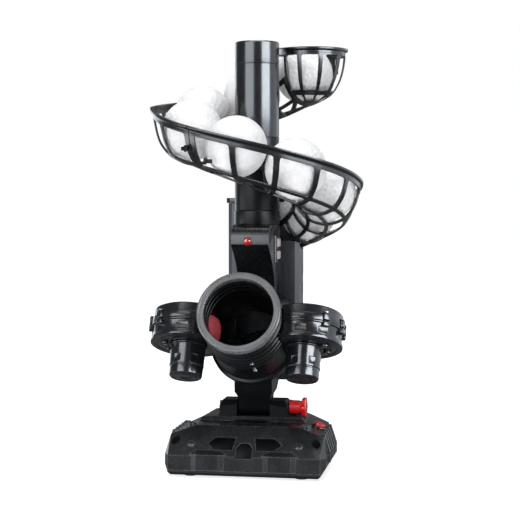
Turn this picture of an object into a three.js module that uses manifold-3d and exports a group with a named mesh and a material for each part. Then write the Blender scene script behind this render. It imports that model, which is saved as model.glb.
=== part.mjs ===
// Toy baseball pitching machine: a battery base carries a tilting head with a
// two-wheel launcher, a ball tower and a helical ball ramp around a column.
// Millimetres, +Z up, +Y to the rear. The balls leave towards -Y.
// Left is -X and right is +X, as seen from in front of the muzzle.
import * as THREE from 'three';
import { mergeVertices } from 'three/addons/utils/BufferGeometryUtils.js';
import { ConvexGeometry } from 'three/addons/geometries/ConvexGeometry.js';
import ManifoldModule from 'manifold-3d';

const wasm = await ManifoldModule();
wasm.setup();

// --------------------------------------------------------- shared dimensions
const GAP = 0.3;              // running gap between separate pieces
const COLUMN_Y = 19;          // column axis behind the centre of the base
const SIDES = [['left', -1], ['right', 1]];
const SIGNS = [-1, 1];

const DECK_Z = 58;            // flat deck of the base
const PIVOT_Y = -10;          // tilt hinge, measured from the column axis
const PIVOT_Z = 73;
const BOLT_R = 4;

const PITCH = 25;             // barrel elevation, degrees
const WHEEL_X = 68.5;         // wheel axes left and right of the barrel
const WHEEL_Y = -70;
const WHEEL_Z = 171;
const BORE_R = 40.2;          // barrel bore
const BARREL_BACK = -45;      // rear end of the barrel, in the launcher frame
const FLANGE_R = 51;          // flanges where barrel and breech meet

const TOWER_Y = 47;           // front face of the tower
const COLUMN_R = 26.8;
const COLLAR_Z = 294;         // underside of the column collar

const PATH_R = 84;            // radius of the ball path on the ramp
const TROUGH_RI = 39;
const TROUGH_RO = 41.6;

// ------------------------------------------------------------------- placing
const rad = (degrees) => (degrees * Math.PI) / 180;
const vec = (x, y, z) => new THREE.Vector3(x, y, z);
const at = (x, y, z) => new THREE.Matrix4().makeTranslation(x, y, z);
// these frames turn +z to +x, to +y, or to a given direction
const alongX = (x, y, z) => new THREE.Matrix4().makeRotationY(Math.PI / 2).setPosition(x, y, z);
const alongY = (x, y, z) => new THREE.Matrix4().makeRotationX(-Math.PI / 2).setPosition(x, y, z);

function facing(direction, origin) {
  const turn = new THREE.Quaternion()
    .setFromUnitVectors(vec(0, 0, 1), direction.clone().normalize());
  return new THREE.Matrix4().makeRotationFromQuaternion(turn).setPosition(origin);
}

// point at an angle around the column, counted from +x towards +y
const aroundColumn = (radius, degrees, z) =>
  vec(radius * Math.cos(rad(degrees)), radius * Math.sin(rad(degrees)), z);

// -------------------------------------------------------------------- solids
function enclosedVolume(position, triangles) {
  const corner = (k) => vec(0, 0, 0).fromBufferAttribute(position, triangles[k]);
  let volume = 0;
  for (let i = 0; i < triangles.length; i += 3) {
    volume += corner(i).dot(corner(i + 1).cross(corner(i + 2)));
  }
  return volume;
}

// Welds a geometry into a Manifold, turning its faces outwards if needed.
function solid(geometry, matrix) {
  if (matrix) geometry.applyMatrix4(matrix);
  for (const key of Object.keys(geometry.attributes)) {
    if (key !== 'position') geometry.deleteAttribute(key);
  }
  const welded = mergeVertices(geometry, 1e-4);
  const index = welded.index.array;
  const triangles = [];
  for (let i = 0; i < index.length; i += 3) {
    const [a, b, c] = [index[i], index[i + 1], index[i + 2]];
    if (a !== b && b !== c && a !== c) triangles.push(a, b, c);
  }
  const { position } = welded.attributes;
  if (enclosedVolume(position, triangles) < 0) triangles.reverse();
  return new wasm.Manifold(new wasm.Mesh({
    numProp: 3,
    vertProperties: new Float32Array(position.array),
    triVerts: new Uint32Array(triangles),
  }));
}

const union = (...parts) => parts.reduce((sum, part) => sum.add(part));
const minus = (body, ...cuts) => cuts.reduce((rest, cut) => rest.subtract(cut), body);

function box(x0, x1, y0, y1, z0, z1, matrix) {
  const geometry = new THREE.BoxGeometry(x1 - x0, y1 - y0, z1 - z0);
  geometry.translate((x0 + x1) / 2, (y0 + y1) / 2, (z0 + z1) / 2);
  return solid(geometry, matrix);
}

const wideBox = (halfX, ...limits) => box(-halfX, halfX, ...limits);

// everything between two heights of a frame
const slice = (z0, z1, matrix) => wideBox(900, -900, 900, z0, z1, matrix);

// profile is a list of [radius, height]; it closes on the axis or on itself
function lathe(profile, segments, matrix) {
  const points = profile.map(([radius, z]) => new THREE.Vector2(radius, z));
  if (profile[0][0] > 1e-6) points.push(points[0].clone());
  const geometry = new THREE.LatheGeometry(points, segments);
  geometry.rotateX(Math.PI / 2);
  return solid(geometry, matrix);
}

function cylinder(radius, z0, z1, segments, matrix, topRadius = radius) {
  return lathe([[0, z0], [radius, z0], [topRadius, z1], [0, z1]], segments, matrix);
}

const sphere = (radius, across, down, matrix) =>
  solid(new THREE.SphereGeometry(radius, across, down), matrix);

const hull = (points) => solid(new ConvexGeometry(points.map((point) => vec(...point))));
const sideHull = (sign, points) => hull(points.map(([x, y, z]) => [sign * x, y, z]));
// hull of the points and their mirror images across x = 0
const wideHull = (points) => hull(points.flatMap(([x, y, z]) => [[x, y, z], [-x, y, z]]));

// outline in XY, raised from z0 to z1
function prism(outline, z0, z1, matrix) {
  const shape = new THREE.Shape(outline.map(([x, y]) => new THREE.Vector2(x, y)));
  const options = { depth: z1 - z0, bevelEnabled: false, curveSegments: 1 };
  const geometry = new THREE.ExtrudeGeometry(shape, options);
  geometry.translate(0, 0, z0);
  return solid(geometry, matrix);
}

// outline in YZ, spread to halfX on both sides
function sidePrism(outline, halfX) {
  const matrix = new THREE.Matrix4().set(0, 0, 1, 0, 1, 0, 0, 0, 0, 1, 0, 0, 0, 0, 0, 1);
  return prism(outline, -halfX, halfX, matrix);
}

// outline in XZ, spread from y0 to y1
function frontPrism(outline, y0, y1) {
  const matrix = new THREE.Matrix4().set(1, 0, 0, 0, 0, 0, 1, 0, 0, 1, 0, 0, 0, 0, 0, 1);
  return prism(outline, y0, y1, matrix);
}

function indexedSolid(points, index) {
  const geometry = new THREE.BufferGeometry().setFromPoints(points);
  geometry.setIndex(index);
  return solid(geometry);
}

// Shell on a grid of nodes. nodes[i][j] = [inner, outer]; isKept(i, j) keeps a cell.
function gridShell(nodes, isKept) {
  const lastColumn = nodes.length - 1;
  const lastRow = nodes[0].length - 1;
  const inner = ([i, j]) => (i * (lastRow + 1) + j) * 2;
  const outer = (cell) => inner(cell) + 1;
  const filled = (i, j) => i >= 0 && j >= 0 && i < lastColumn && j < lastRow && isKept(i, j);
  const index = [];
  const quad = (a, b, c, d) => index.push(a, b, c, a, c, d);
  for (let i = 0; i < lastColumn; i++) {
    for (let j = 0; j < lastRow; j++) {
      if (!filled(i, j)) continue;
      const corners = [[i, j], [i + 1, j], [i + 1, j + 1], [i, j + 1]];
      quad(...corners.map(outer));
      quad(...corners.map(inner).reverse());
      // edge walls towards the empty neighbours
      [[i, j - 1], [i + 1, j], [i, j + 1], [i - 1, j]].forEach((neighbour, k) => {
        if (filled(...neighbour)) return;
        const [start, end] = [corners[k], corners[(k + 1) % 4]];
        quad(outer(end), outer(start), inner(start), inner(end));
      });
    }
  }
  return indexedSolid(nodes.flat(2), index);
}

// closed tube through a list of rings of points, capped at both ends
function loft(rings) {
  const count = rings[0].length;
  const index = [];
  for (let i = 0; i < rings.length - 1; i++) {
    for (let j = 0; j < count; j++) {
      const next = (j + 1) % count;
      const near = i * count;
      const far = near + count;
      index.push(near + j, far + j, far + next, near + j, far + next, near + next);
    }
  }
  const last = (rings.length - 1) * count;
  for (let j = 1; j < count - 1; j++) index.push(0, j, j + 1, last, last + j + 1, last + j);
  return indexedSolid(rings.flat(), index);
}

// ----------------------------------------------------------------- materials
const standard = (options) => new THREE.MeshStandardMaterial(options);
const MATERIAL = {
  shell: standard({ color: 0x37383a, roughness: 0.55 }),
  pan: standard({ color: 0x1b1c1e, roughness: 0.7 }),
  rubber: standard({ color: 0x151515, roughness: 0.9 }),
  gloss: standard({ color: 0x0c0d0f, roughness: 0.15 }),
  satin: standard({ color: 0x141518, roughness: 0.4 }),
  grey: standard({ color: 0x8b8f92, roughness: 0.35 }),
  red: standard({ color: 0xe02018, roughness: 0.35 }),
  foam: standard({ color: 0xef5a68, roughness: 0.9 }),
  hub: standard({ color: 0x202124, roughness: 0.5 }),
  steel: standard({ color: 0xb5b8bb, roughness: 0.3, metalness: 1 }),
  board: standard({ color: 0x1d5a34, roughness: 0.6 }),
  battery: standard({ color: 0x9a9da0, roughness: 0.4, metalness: 1 }),
  ball: standard({ color: 0xf6f6f4, roughness: 0.7 }),
  lens: standard({ color: 0xd01818, roughness: 0.1 }),
  button: standard({ color: 0xe8dfe2, roughness: 0.4 }),
};

// -------------------------------------------------------------- scene groups
const group = new THREE.Group();
const machine = new THREE.Group();
machine.position.set(0, COLUMN_Y, 0);   // the column axis is at x = y = 0 in here
group.add(machine);

// launcher frame: x across, y along the wheel axes, z along the barrel
const launcher = new THREE.Group();
launcher.rotation.x = rad(90 - PITCH);
launcher.position.set(0, WHEEL_Y, WHEEL_Z);
machine.add(launcher);
const LAUNCH = new THREE.Matrix4().makeRotationX(rad(90 - PITCH))
  .setPosition(0, WHEEL_Y, WHEEL_Z);

function put(parent, name, material, manifold) {
  const { vertProperties, triVerts } = manifold.getMesh();
  const geometry = new THREE.BufferGeometry();
  geometry.setAttribute('position', new THREE.BufferAttribute(Float32Array.from(vertProperties), 3));
  geometry.setIndex(new THREE.BufferAttribute(Uint32Array.from(triVerts), 1));
  geometry.computeVertexNormals();
  const mesh = new THREE.Mesh(geometry, material);
  mesh.name = name;
  parent.add(mesh);
  return mesh;
}

// ---------------------------------------------------------------------- base
const PLATEAU_Z = 63;         // raised plateau around the hinge
const SPLIT_Z = 8.5;          // split line of the base shells
const NOSE_Y = -97;
const NOSE_TOP_Z = 26;        // the front slope starts here and runs up to the deck
const DECK_FRONT_Y = -70;
const FOOT_X = 66;
const FOOT_ENDS = [['front', -78], ['rear', 40]];     // name, y
const FOOT_R = 9;
const BOSS = [69, -60];       // x, y of the round bosses near the front of the deck

// x, y, z, then the shares of the inset added to y and to z; x loses all of it
const BASE_SIDES = [
  [87, -95.4, 3, 1], [88.5, -86, 3, 1], [88, 39, 3, -1], [74, 56, 3, -1], [90, NOSE_Y, 6, 1],
  ...[14, NOSE_TOP_Z].flatMap((z) => [
    [90, NOSE_Y, z, 1], [95.5, -86, z, 0.6], [95.5, -8, z, 0], [89, 42, z, -0.5],
    [76.5, 59, z, -1],
  ]),
  [91.5, -71, 47, 1, -0.7], [90.5, -8, 47, 0, -0.7], [84, 40, 47, -1, -0.7],
  [74, 59, 44, -1, -0.7],
];
// x, y, share of the inset added to y
const BASE_TOP = [[27, DECK_FRONT_Y, 1], [60, -67, 1], [67, -10, 0], [60, 38, -1], [52, 46, -1]];

function baseHull(inset, topZ) {
  const top = BASE_TOP.map(([x, y, shareY]) => [x, y, topZ, shareY]);
  return wideHull([...BASE_SIDES, ...top].map(([x, y, z, shareY, shareZ = 0]) =>
    [x - inset, y + inset * shareY, z + inset * shareZ]));
}
const baseOuter = baseHull(0, DECK_Z);

// frame on the front slope at a share of the way up, with z pointing out of it
const SLOPE_RUN = DECK_FRONT_Y - NOSE_Y;
const SLOPE_RISE = DECK_Z - NOSE_TOP_Z;
const onSlope = (x, share) => new THREE.Matrix4()
  .makeRotationX(Math.atan2(SLOPE_RISE, SLOPE_RUN))
  .setPosition(x, NOSE_Y + SLOPE_RUN * share, NOSE_TOP_Z + SLOPE_RISE * share);
const screwFrame = (sign) => onSlope(sign * 64, 0.38);

// frame of the power button on the right shoulder
const BUTTON = facing(vec(0.403, 0, 0.915), vec(80, -31, 52.4));

// rows of x, half length, z give two points each, before and behind the hinge axis
const aboutHinge = (rows) => rows.flatMap(([x, half, z]) =>
  [[x, PIVOT_Y - half, z], [x, PIVOT_Y + half, z]]);

const plateau = () => wideHull([
  [65.5, -36, DECK_Z - 1], [60, -32, PLATEAU_Z], [62, 30, DECK_Z - 1],
  [56, 27, PLATEAU_Z], [46, 41, DECK_Z - 1], [43, 37, PLATEAU_Z],
]);

const hood = () => wideHull([
  [25, -69, DECK_Z - 1], [21, -64, 60], [24, -37, DECK_Z - 1], [20, -37, 60],
]);

const frontPanel = (sign) => sideHull(sign, [
  [20, -95, 9], [29, -100.6, 9.5], [56, -100.6, 9.5], [65, -95, 9],
  [20, -95, 28], [29, -100.6, 28], [56, -100.6, 28], [65, -95, 28],
  [29, -93, 33], [56, -93, 33],
]);

function sideFin(sign, y) {
  // x, z, narrowing at each end
  const rows = [[93, 15, 0], [98, 17, 1], [93, 27, 0], [98, 29, 1], [84, 50, 0], [91, 50.5, 1]];
  return sideHull(sign, rows.flatMap(([x, z, narrowing]) =>
    [[x, y + narrowing, z], [x, y + 9 - narrowing, z]]));
}

// additions to the left or right half of the upper shell
const sideDetails = (sign) => [
  frontPanel(sign),
  ...[-66, -50, -34, -18, -2].map((y) => sideFin(sign, y)),
  cylinder(6, 46, DECK_Z + 1.2, 16, at(sign * BOSS[0], BOSS[1], 0), 5.4),
];

// five-sided recess, corner recess, screw well, screw hole and boss hole
function sideRecesses(sign) {
  const fiveSided = [[31, 0], [22, 8.6], [-2, 8.6], [1, -8.6], [22, -8.6]];
  const corner = facing(vec(sign * 0.42, -0.66, 0.62), vec(sign * 85, -83.5, 42.5));
  return [
    prism(fiveSided.map(([x, y]) => [sign * x, y]), -2.4, 20, onSlope(sign * 13, 0.42)),
    prism([[5, 0], [1, 6.5], [-5, 2], [-1, -6.5]], -2.2, 12, corner),
    cylinder(4.6, -1.5, 20, 12, screwFrame(sign)),
    cylinder(1.7, -6, 2, 8, screwFrame(sign)),
    cylinder(3.6, DECK_Z - 1.2, 90, 12, at(sign * BOSS[0], BOSS[1], 0)),
  ];
}

const BRACKET_X = 44;         // half sizes of the hinge bracket's base plate
const BRACKET_Y = 20;

function baseUpperShell() {
  const bracketPocket = wideBox(BRACKET_X + GAP,
    PIVOT_Y - BRACKET_Y - GAP, PIVOT_Y + BRACKET_Y + GAP, DECK_Z, 90);
  const knobRelief = hull(aboutHinge([43, 80].flatMap((x) => [[x, 17, 90], [x, 15, 59.2]])));
  const noseNotch = wideHull([
    [9.5, -105, 24], [9.5, -93.4, 24], [9.5, -105, 35],
    [9.5, -88, 35], [5, -105, 40.5], [5, -84.5, 40.5],
  ]);
  return minus(
    union(baseOuter, plateau(), hood(), ...SIGNS.flatMap(sideDetails)),
    baseHull(3.2, DECK_Z - 3), slice(-50, SPLIT_Z), bracketPocket, knobRelief,
    ...SIGNS.flatMap(sideRecesses),
    noseNotch,
    // power button seat and hole
    cylinder(8.9, -1.6, 20, 16, BUTTON),
    cylinder(5, -20, 2, 16, BUTTON),
    // battery door recess and opening
    wideBox(40.6, 56.6, 70, 13.4, 43.6),
    wideBox(36, 50, 70, 18, 40));
}
put(machine, 'base_upper_shell', MATERIAL.shell, baseUpperShell());

function basePan() {
  const footHoles = SIGNS.flatMap((sign) => FOOT_ENDS.map(([, y]) =>
    cylinder(FOOT_R + GAP, -5, 4.2, 12, at(sign * FOOT_X, y, 0))));
  const tray = baseOuter.intersect(slice(-10, SPLIT_Z - GAP))
    .subtract(baseHull(3, 60).intersect(slice(6, 80)));
  const centreDisc = cylinder(16, 0, 4, 24, at(0, -COLUMN_Y, 0));
  return minus(tray.add(centreDisc), ...footHoles);
}
put(machine, 'base_lower_pan', MATERIAL.pan, basePan());

for (const [end, y] of FOOT_ENDS) {
  for (const [side, sign] of SIDES) {
    const foot = put(machine, `foot_${end}_${side}`, MATERIAL.rubber,
      lathe([[0, 0], [7.6, 0], [FOOT_R, 1.2], [FOOT_R, 3.9], [0, 3.9]], 12));
    foot.position.set(sign * FOOT_X, y, 0);
  }
}

// four cells on a tray with a block at their front end
put(machine, 'battery_pack', MATERIAL.battery, union(
  ...[-39, -13, 13, 39].map((x) => cylinder(15.4, -24, 34, 12, alongY(x, 17, 28))),
  wideBox(52, -8, 50, 6.6, 20),
  wideBox(41, -16, -6.5, 14, 42)));

// door with a finger tab and two grooves
put(machine, 'battery_door', MATERIAL.shell, minus(
  union(wideBox(40, 57, 58.8, 14.2, 43), wideBox(9, 58, 60.2, 38, 41.5)),
  wideBox(30, 58.2, 70, 20, 22),
  wideBox(30, 58.2, 70, 25, 27)));

// cross-head screws in the front slope
for (const [side, sign] of SIDES) {
  const head = lathe([[0, -1.1], [3.6, -1.1], [4, 0], [2.8, 1], [0, 1.2]], 12);
  const screw = put(machine, `base_screw_${side}`, MATERIAL.steel,
    minus(head, wideBox(3, -0.5, 0.5, 0.3, 3), wideBox(0.5, -3, 3, 0.3, 3)));
  screw.applyMatrix4(screwFrame(sign));
}

put(machine, 'power_button_bezel', MATERIAL.satin, lathe([
  [6.6, -1.2], [8.5, -1.2], [8.5, 1.4], [7.9, 2.2], [6.6, 2.2],
], 16)).applyMatrix4(BUTTON);

put(machine, 'power_button', MATERIAL.red, lathe([
  [0, -4.5], [4.6, -4.5], [4.6, 1.2], [6.3, 1.9], [6.3, 4.6], [5.4, 5.6], [0, 6],
], 16)).applyMatrix4(BUTTON);

// --------------------------------------------------------------------- hinge
const HINGE = alongX(0, PIVOT_Y, PIVOT_Z);
const boltHole = cylinder(BOLT_R + GAP, -60, 60, 20, HINGE);

const bracketEar = (sign) => sideHull(sign, aboutHinge([
  [20.3, 18, 59], [41.5, 18, 59], [20.3, 18, 77], [41.5, 18, 74],
  [20.3, 13, 82], [38, 13, 82], [41.5, 13, 78.5],
]));
put(machine, 'clevis_bracket', MATERIAL.satin, minus(
  union(
    wideBox(BRACKET_X, PIVOT_Y - BRACKET_Y, PIVOT_Y + BRACKET_Y, DECK_Z + GAP, 60.4),
    ...SIGNS.map(bracketEar)),
  boltHole));

// the shank has a hexagonal head on the left
put(machine, 'pivot_bolt', MATERIAL.steel, union(
  cylinder(BOLT_R, -42, 50, 16, HINGE),
  cylinder(6.6, -44, -41.8, 6, HINGE)));

function tiltKnob() {
  const lobeCircle = 9.2;
  const lobes = [];
  for (let k = 0; k < 6; k++) {
    const angle = rad(60 * k + 90);
    lobes.push(cylinder(3.4, 57.6, 62.8, 10, alongX(
      0, PIVOT_Y + lobeCircle * Math.cos(angle), PIVOT_Z + lobeCircle * Math.sin(angle))));
  }
  const body = lathe([
    [0, 42.2], [8.8, 42.2], [8.8, 44.8], [8.2, 45.6], [8.2, 54], [7, 57.4], [11.6, 57.4],
    [12, 58.2], [12, 62], [11.2, 62.8], [0, 62.8],
  ], 24, HINGE);
  return minus(union(body, ...lobes), cylinder(BOLT_R + GAP, 40, 50.5, 16, HINGE));
}
put(machine, 'tilt_knob', MATERIAL.red, tiltKnob());

// ------------------------------------------------------------------ launcher
const MUZZLE = 56;            // front end of the barrel tube
const WELL_R = 41;            // round space for each wheel
const WELL_H = 15;            // its half height
const HOUSING_H = 19.5;       // half height of a wheel housing
const HOUSING_RIM_R = 45.4;
const HOUSING_SPLIT = 1.2;    // lower edge of the upper housing
const WHEEL_R = 37;

// [radius, z] from the muzzle back, with three rings and the rear flange
const BARREL_OUTSIDE = [
  [43.2, MUZZLE],
  [43.4, 51], [45.6, 50.2], [43.9, 47.4],
  [44.4, 41], [46.6, 40.2], [44.9, 37.4],
  [45.4, 31], [47.6, 30.2], [45.9, 27.4],
  [47.5, -40.6], [FLANGE_R, -41], [FLANGE_R, BARREL_BACK],
];
put(launcher, 'barrel_tube', MATERIAL.satin, minus(
  lathe([[BORE_R, BARREL_BACK], [BORE_R, MUZZLE], ...BARREL_OUTSIDE], 32),
  ...[1, -1].map((sign) => cylinder(WELL_R, -WELL_H, WELL_H, 28, alongY(sign * WHEEL_X, 0, 0)))));

put(launcher, 'muzzle_ring', MATERIAL.grey, lathe([
  [BORE_R, MUZZLE + GAP], [BORE_R, 63.2], [BORE_R + 0.8, 64],
  [47.6, 64], [48.4, 63.2], [48.4, MUZZLE + GAP],
], 32));

// room kept clear around the barrel
const barrelEnvelope = lathe([
  [0, -45.2], [51.6, -45.2], [51.6, -40.6], [48.6, -40.2], [48.6, 56.2], [0, 56.2],
], 32);

// three lugs around the side of a housing away from the barrel
const housingLugs = (sign, y0, y1) => [60, 120, -60].map((degrees) => {
  const frame = new THREE.Matrix4().makeRotationY(rad(sign * degrees));
  return box(-4, 4, y0, y1, 41.5, 48, frame.setPosition(sign * WHEEL_X, 0, 0));
});

// wheel pieces turned on the wheel axis: [radius, y]
const UPPER_HOUSING = [
  [6, HOUSING_H], [6, WELL_H], [WELL_R, WELL_H], [WELL_R, HOUSING_SPLIT],
  [HOUSING_RIM_R, HOUSING_SPLIT], [HOUSING_RIM_R, 8], [44, 8.6], [44, 18.5], [43, HOUSING_H],
];
const LOWER_HOUSING = [
  [8, -HOUSING_H], [8, -WELL_H], [WELL_R, -WELL_H], [WELL_R, HOUSING_SPLIT - GAP],
  [HOUSING_RIM_R, HOUSING_SPLIT - GAP], [HOUSING_RIM_R, -1], [43.4, -1.6], [43.4, -15.4],
  [44.8, -16], [44.8, -HOUSING_H],
];
const MOTOR_COVER = [
  [17.4, -19.8], [22.4, -19.8], [22.4, -21.8], [20.4, -22.4], [19.9, -46.6], [19.1, -47.4],
  [18.8, -57.4], [17.2, -59.2], [0, -59.2], [0, -56.6], [17.2, -55.6],
];
const WHEEL_MOTOR = [
  [0, -53], [14, -53], [14.6, -50], [14.6, -23.5], [6, -23.5], [6, -21.8], [0, -21.8],
];
const WHEEL_HUB = [
  [0, -21], [2.6, -21], [2.6, -13.4], [8, -13.4], [8, -11], [20, -11], [20, 11], [8, 11],
  [8, 13.4], [3, 13.4], [3, 18.4], [0, 18.4],
];
const WHEEL_TYRE = [
  [20.4, -12], [WHEEL_R - 1, -12], [WHEEL_R, -10.5], [WHEEL_R - 0.8, 0],
  [WHEEL_R, 10.5], [WHEEL_R - 1, 12], [20.4, 12],
];

for (const [side, sign] of SIDES) {
  const turned = (profile, segments) => lathe(profile, segments, alongY(sign * WHEEL_X, 0, 0));
  const housing = (profile, lugY0, lugY1) =>
    union(turned(profile, 24), ...housingLugs(sign, lugY0, lugY1)).subtract(barrelEnvelope);
  put(launcher, `wheel_housing_upper_${side}`, MATERIAL.gloss, housing(UPPER_HOUSING, 2, 10.5));
  put(launcher, `wheel_housing_lower_${side}`, MATERIAL.gloss,
    housing(LOWER_HOUSING, -4, HOUSING_SPLIT - GAP));
  put(launcher, `motor_cover_${side}`, MATERIAL.gloss, turned(MOTOR_COVER, 20));
  put(launcher, `wheel_motor_${side}`, MATERIAL.steel, turned(WHEEL_MOTOR, 16));
  put(launcher, `flywheel_hub_${side}`, MATERIAL.hub, turned(WHEEL_HUB, 16));
  put(launcher, `flywheel_tyre_${side}`, MATERIAL.foam, turned(WHEEL_TYRE, 24));
}

// ---------------------------------------------------------- breech and chute
const BREECH = [0, -23, 149]; // bend between chute and barrel
const BREECH_FRONT = BARREL_BACK - GAP;
const CHUTE_SLOPE = 17;       // degrees
const CHUTE_BORE_R = 39.6;
// height in the chute frame runs from the bend up towards the tower
const CHUTE = new THREE.Matrix4().makeRotationX(-rad(90 - CHUTE_SLOPE)).setPosition(...BREECH);

function breechHousing() {
  const shell = union(sphere(47.4, 20, 12, at(...BREECH)), cylinder(43, 0, 76, 24, CHUTE))
    .subtract(slice(BREECH_FRONT, 900, LAUNCH));
  const flange = cylinder(FLANGE_R, -49.6, BREECH_FRONT, 32, LAUNCH);
  return minus(
    union(shell, flange),
    wideBox(100, TOWER_Y - GAP, 300, 0, 400),
    sphere(BORE_R, 16, 10, at(...BREECH)),
    cylinder(BORE_R, -60, -30, 24, LAUNCH),
    cylinder(CHUTE_BORE_R, 0, 120, 24, CHUTE));
}
put(machine, 'breech_housing', MATERIAL.gloss, breechHousing());

// room kept clear around the chute and the breech
const breechEnvelope = [cylinder(43.7, -2, 90, 24, CHUTE), sphere(48, 24, 12, at(...BREECH))];

// ----------------------------------------------------------------- ball path
// Angles are world angles around the column; the path falls as they grow.
const RIM_Z = 436;            // trough rim at RIM_ANGLE
const RIM_ANGLE = 190;
const RIM_FALL = 0.525;       // mm of fall per degree
const GENTLE_FALL = 0.27;     // fall of the lowered rim before RIM_ANGLE
const RIM_HEIGHT = 27;        // rim above the ball centres on the upper stretch
const { smoothstep } = THREE.MathUtils;

const rimLine = (degrees) => RIM_Z - RIM_FALL * (degrees - RIM_ANGLE);

// the wall is lower behind the column than at the end bowl
function rimZ(degrees) {
  const before = Math.max(0, RIM_ANGLE - degrees);
  return rimLine(degrees) - (RIM_FALL - GENTLE_FALL) * before * smoothstep(degrees, 80, 120);
}

// height of the ball centres; the trough grows 15 mm shallower on the way down
const pathZ = (degrees) => rimLine(degrees) - RIM_HEIGHT + 15 * smoothstep(degrees, 152, 252);

// rim height above the ball centre
const rimDepth = (degrees) => rimZ(degrees) - pathZ(degrees);

// round sweep along the end of the ball path, to clear the trough
function outletSweep(radius) {
  const rings = [];
  for (let degrees = 392; degrees <= 436; degrees += 4) {
    const ring = [];
    for (let k = 0; k < 24; k++) {
      const angle = (k * Math.PI) / 12;
      ring.push(aroundColumn(PATH_R + radius * Math.cos(angle), degrees,
        pathZ(degrees) + radius * Math.sin(angle)));
    }
    rings.push(ring);
  }
  return loft(rings);
}

// --------------------------------------------------------------------- tower
const TOWER_W = 45;           // half width
const SHAFT_Y = 84;           // axis of the ball shaft
const TOWER_Z0 = 98;
const TOWER_Z1 = 319;
const BRACKET_TOP = 250;      // top of the column bracket against the tower
const TOWER_SPLIT_Y = 70;     // joint of front and rear shells
const WALL = 3;

// D shape: flat front with cut corners, round back
function towerOutline(inset) {
  const half = TOWER_W - inset;
  const front = TOWER_Y + inset;
  const points = [[-half, front + 5], [-half + 5, front], [half - 5, front], [half, front + 5]];
  for (let k = 0; k <= 20; k++) {
    const angle = (k * Math.PI) / 20;
    points.push([half * Math.cos(angle), SHAFT_Y + half * Math.sin(angle)]);
  }
  return points;
}

// everything clockwise of a vertical plane through the column axis, seen from above
const clockwiseOf = (degrees) =>
  slice(0, 900, facing(vec(Math.sin(rad(degrees)), -Math.cos(rad(degrees)), 0), vec(0, 0, 0)));

// slot for the paddles of the feed wheel
const paddleSlot = wideBox(8, 34, 70, 205, 268);

function towerShell() {
  const walls = prism(towerOutline(0), TOWER_Z0, TOWER_Z1)
    .subtract(prism(towerOutline(WALL), TOWER_Z0 + 8, TOWER_Z1 + 5));
  const bottomChamfers = SIGNS.map((sign) => frontPrism([
    [sign * 36, TOWER_Z0 - 1], [sign * 46, TOWER_Z0 - 1], [sign * 46, TOWER_Z0 + 8],
  ], 0, 200));
  const outletCut = clockwiseOf(75.5).intersect(wideBox(200, 0, 200, 276, 400))
    .add(outletSweep(TROUGH_RO + 1.6));
  const vents = SIGNS.flatMap((sign) => [132, 156, 180, 204, 228].map((z) =>
    box(sign * 40, sign * 50, 77, 81, z, z + 15)));
  const frontGrooves = [-32, -24, 24, 32].map((x) => box(
    x - 0.8, x + 0.8, TOWER_Y - 5, TOWER_Y + 1, TOWER_Z0 + 14, BRACKET_TOP - 8));
  const chuteHole = cylinder(CHUTE_BORE_R, 0, 90, 24, CHUTE);
  return minus(walls, ...bottomChamfers, outletCut, chuteHole, paddleSlot,
    ...vents, ...frontGrooves);
}
const tower = towerShell();
put(machine, 'tower_front_shell', MATERIAL.satin,
  tower.intersect(wideBox(200, 0, TOWER_SPLIT_Y - GAP / 2, 0, 500)));
put(machine, 'tower_rear_shell', MATERIAL.satin,
  tower.intersect(wideBox(200, TOWER_SPLIT_Y + GAP / 2, 300, 0, 500)));

// rim on top of the tower, open towards the ramp outlet
put(machine, 'tower_hat', MATERIAL.satin, minus(
  prism(towerOutline(-2), TOWER_Z1 + GAP, TOWER_Z1 + 6.5),
  prism(towerOutline(3.2), TOWER_Z1 - 5, TOWER_Z1 + 20),
  clockwiseOf(76.5)));

// inclined floor that turns the falling ball into the chute
put(machine, 'shaft_floor', MATERIAL.satin,
  sidePrism([[50.4, 127], [130, 151.3], [130, 154.3], [50.4, 130]], 60)
    .intersect(prism(towerOutline(WALL + 0.4), 100, 200)));

// board with three components
put(machine, 'control_board', MATERIAL.board, union(
  wideBox(30, 58, 112, 108, 109.8),
  box(-20, -4, 66, 82, 109.5, 114),
  box(4, 24, 70, 90, 109.5, 119),
  box(-18, 0, 92, 104, 109.5, 116)));

// neck between the hinge and the head
function neckBracket() {
  const half = 19.8;          // fits between the bracket ears
  const wide = 23;
  const back = TOWER_Y - 0.4;
  const body = union(
    cylinder(12, -half, half, 24, HINGE),
    wideHull([[half, -22, 73], [half, 2, 73], [half, -24, 86], [half, 6, 86]]),
    wideHull([
      [half, -24, 86], [half, 6, 86], [wide, -28, 92], [wide, 12, 92],
      [wide, -30, 112], [wide, back, 112], [21, back, 104],
    ]),
    wideHull([[wide, 20, 100], [wide, back, 100], [wide, back, 128], [wide, 8, 128]]));
  const barrelClearance = lathe([
    [0, -49.9], [51.4, -49.9], [51.4, -40], [48.8, -40], [48.8, 40], [0, 40],
  ], 32, LAUNCH);
  return minus(body, ...breechEnvelope, barrelClearance, boltHole);
}
put(machine, 'neck_bracket', MATERIAL.satin, neckBracket());

// ---------------------------------------------------- column and its bracket
// side outlines of the bracket: [y, z]
const BRACKET_OUTSIDE = [
  [46.6, COLLAR_Z], [-36, COLLAR_Z], [-44, 292.4], [-50, 287.5], [-52.5, 281], [-52.5, 271],
  [-50, 268], [-36, 259], [-22, 247.5], [-11, 235], [-4.5, 221], [-2, 206], [-2, 180],
];
const BRACKET_INSIDE = [
  [60, 290.5], [-35, 290.5], [-42, 289], [-47, 285], [-49, 280], [-49, 272.5],
  [-34, 262.6], [-19.5, 250.5], [-8, 237.5], [-1.2, 222], [1.2, 206], [1.2, 170], [60, 170],
];

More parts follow.
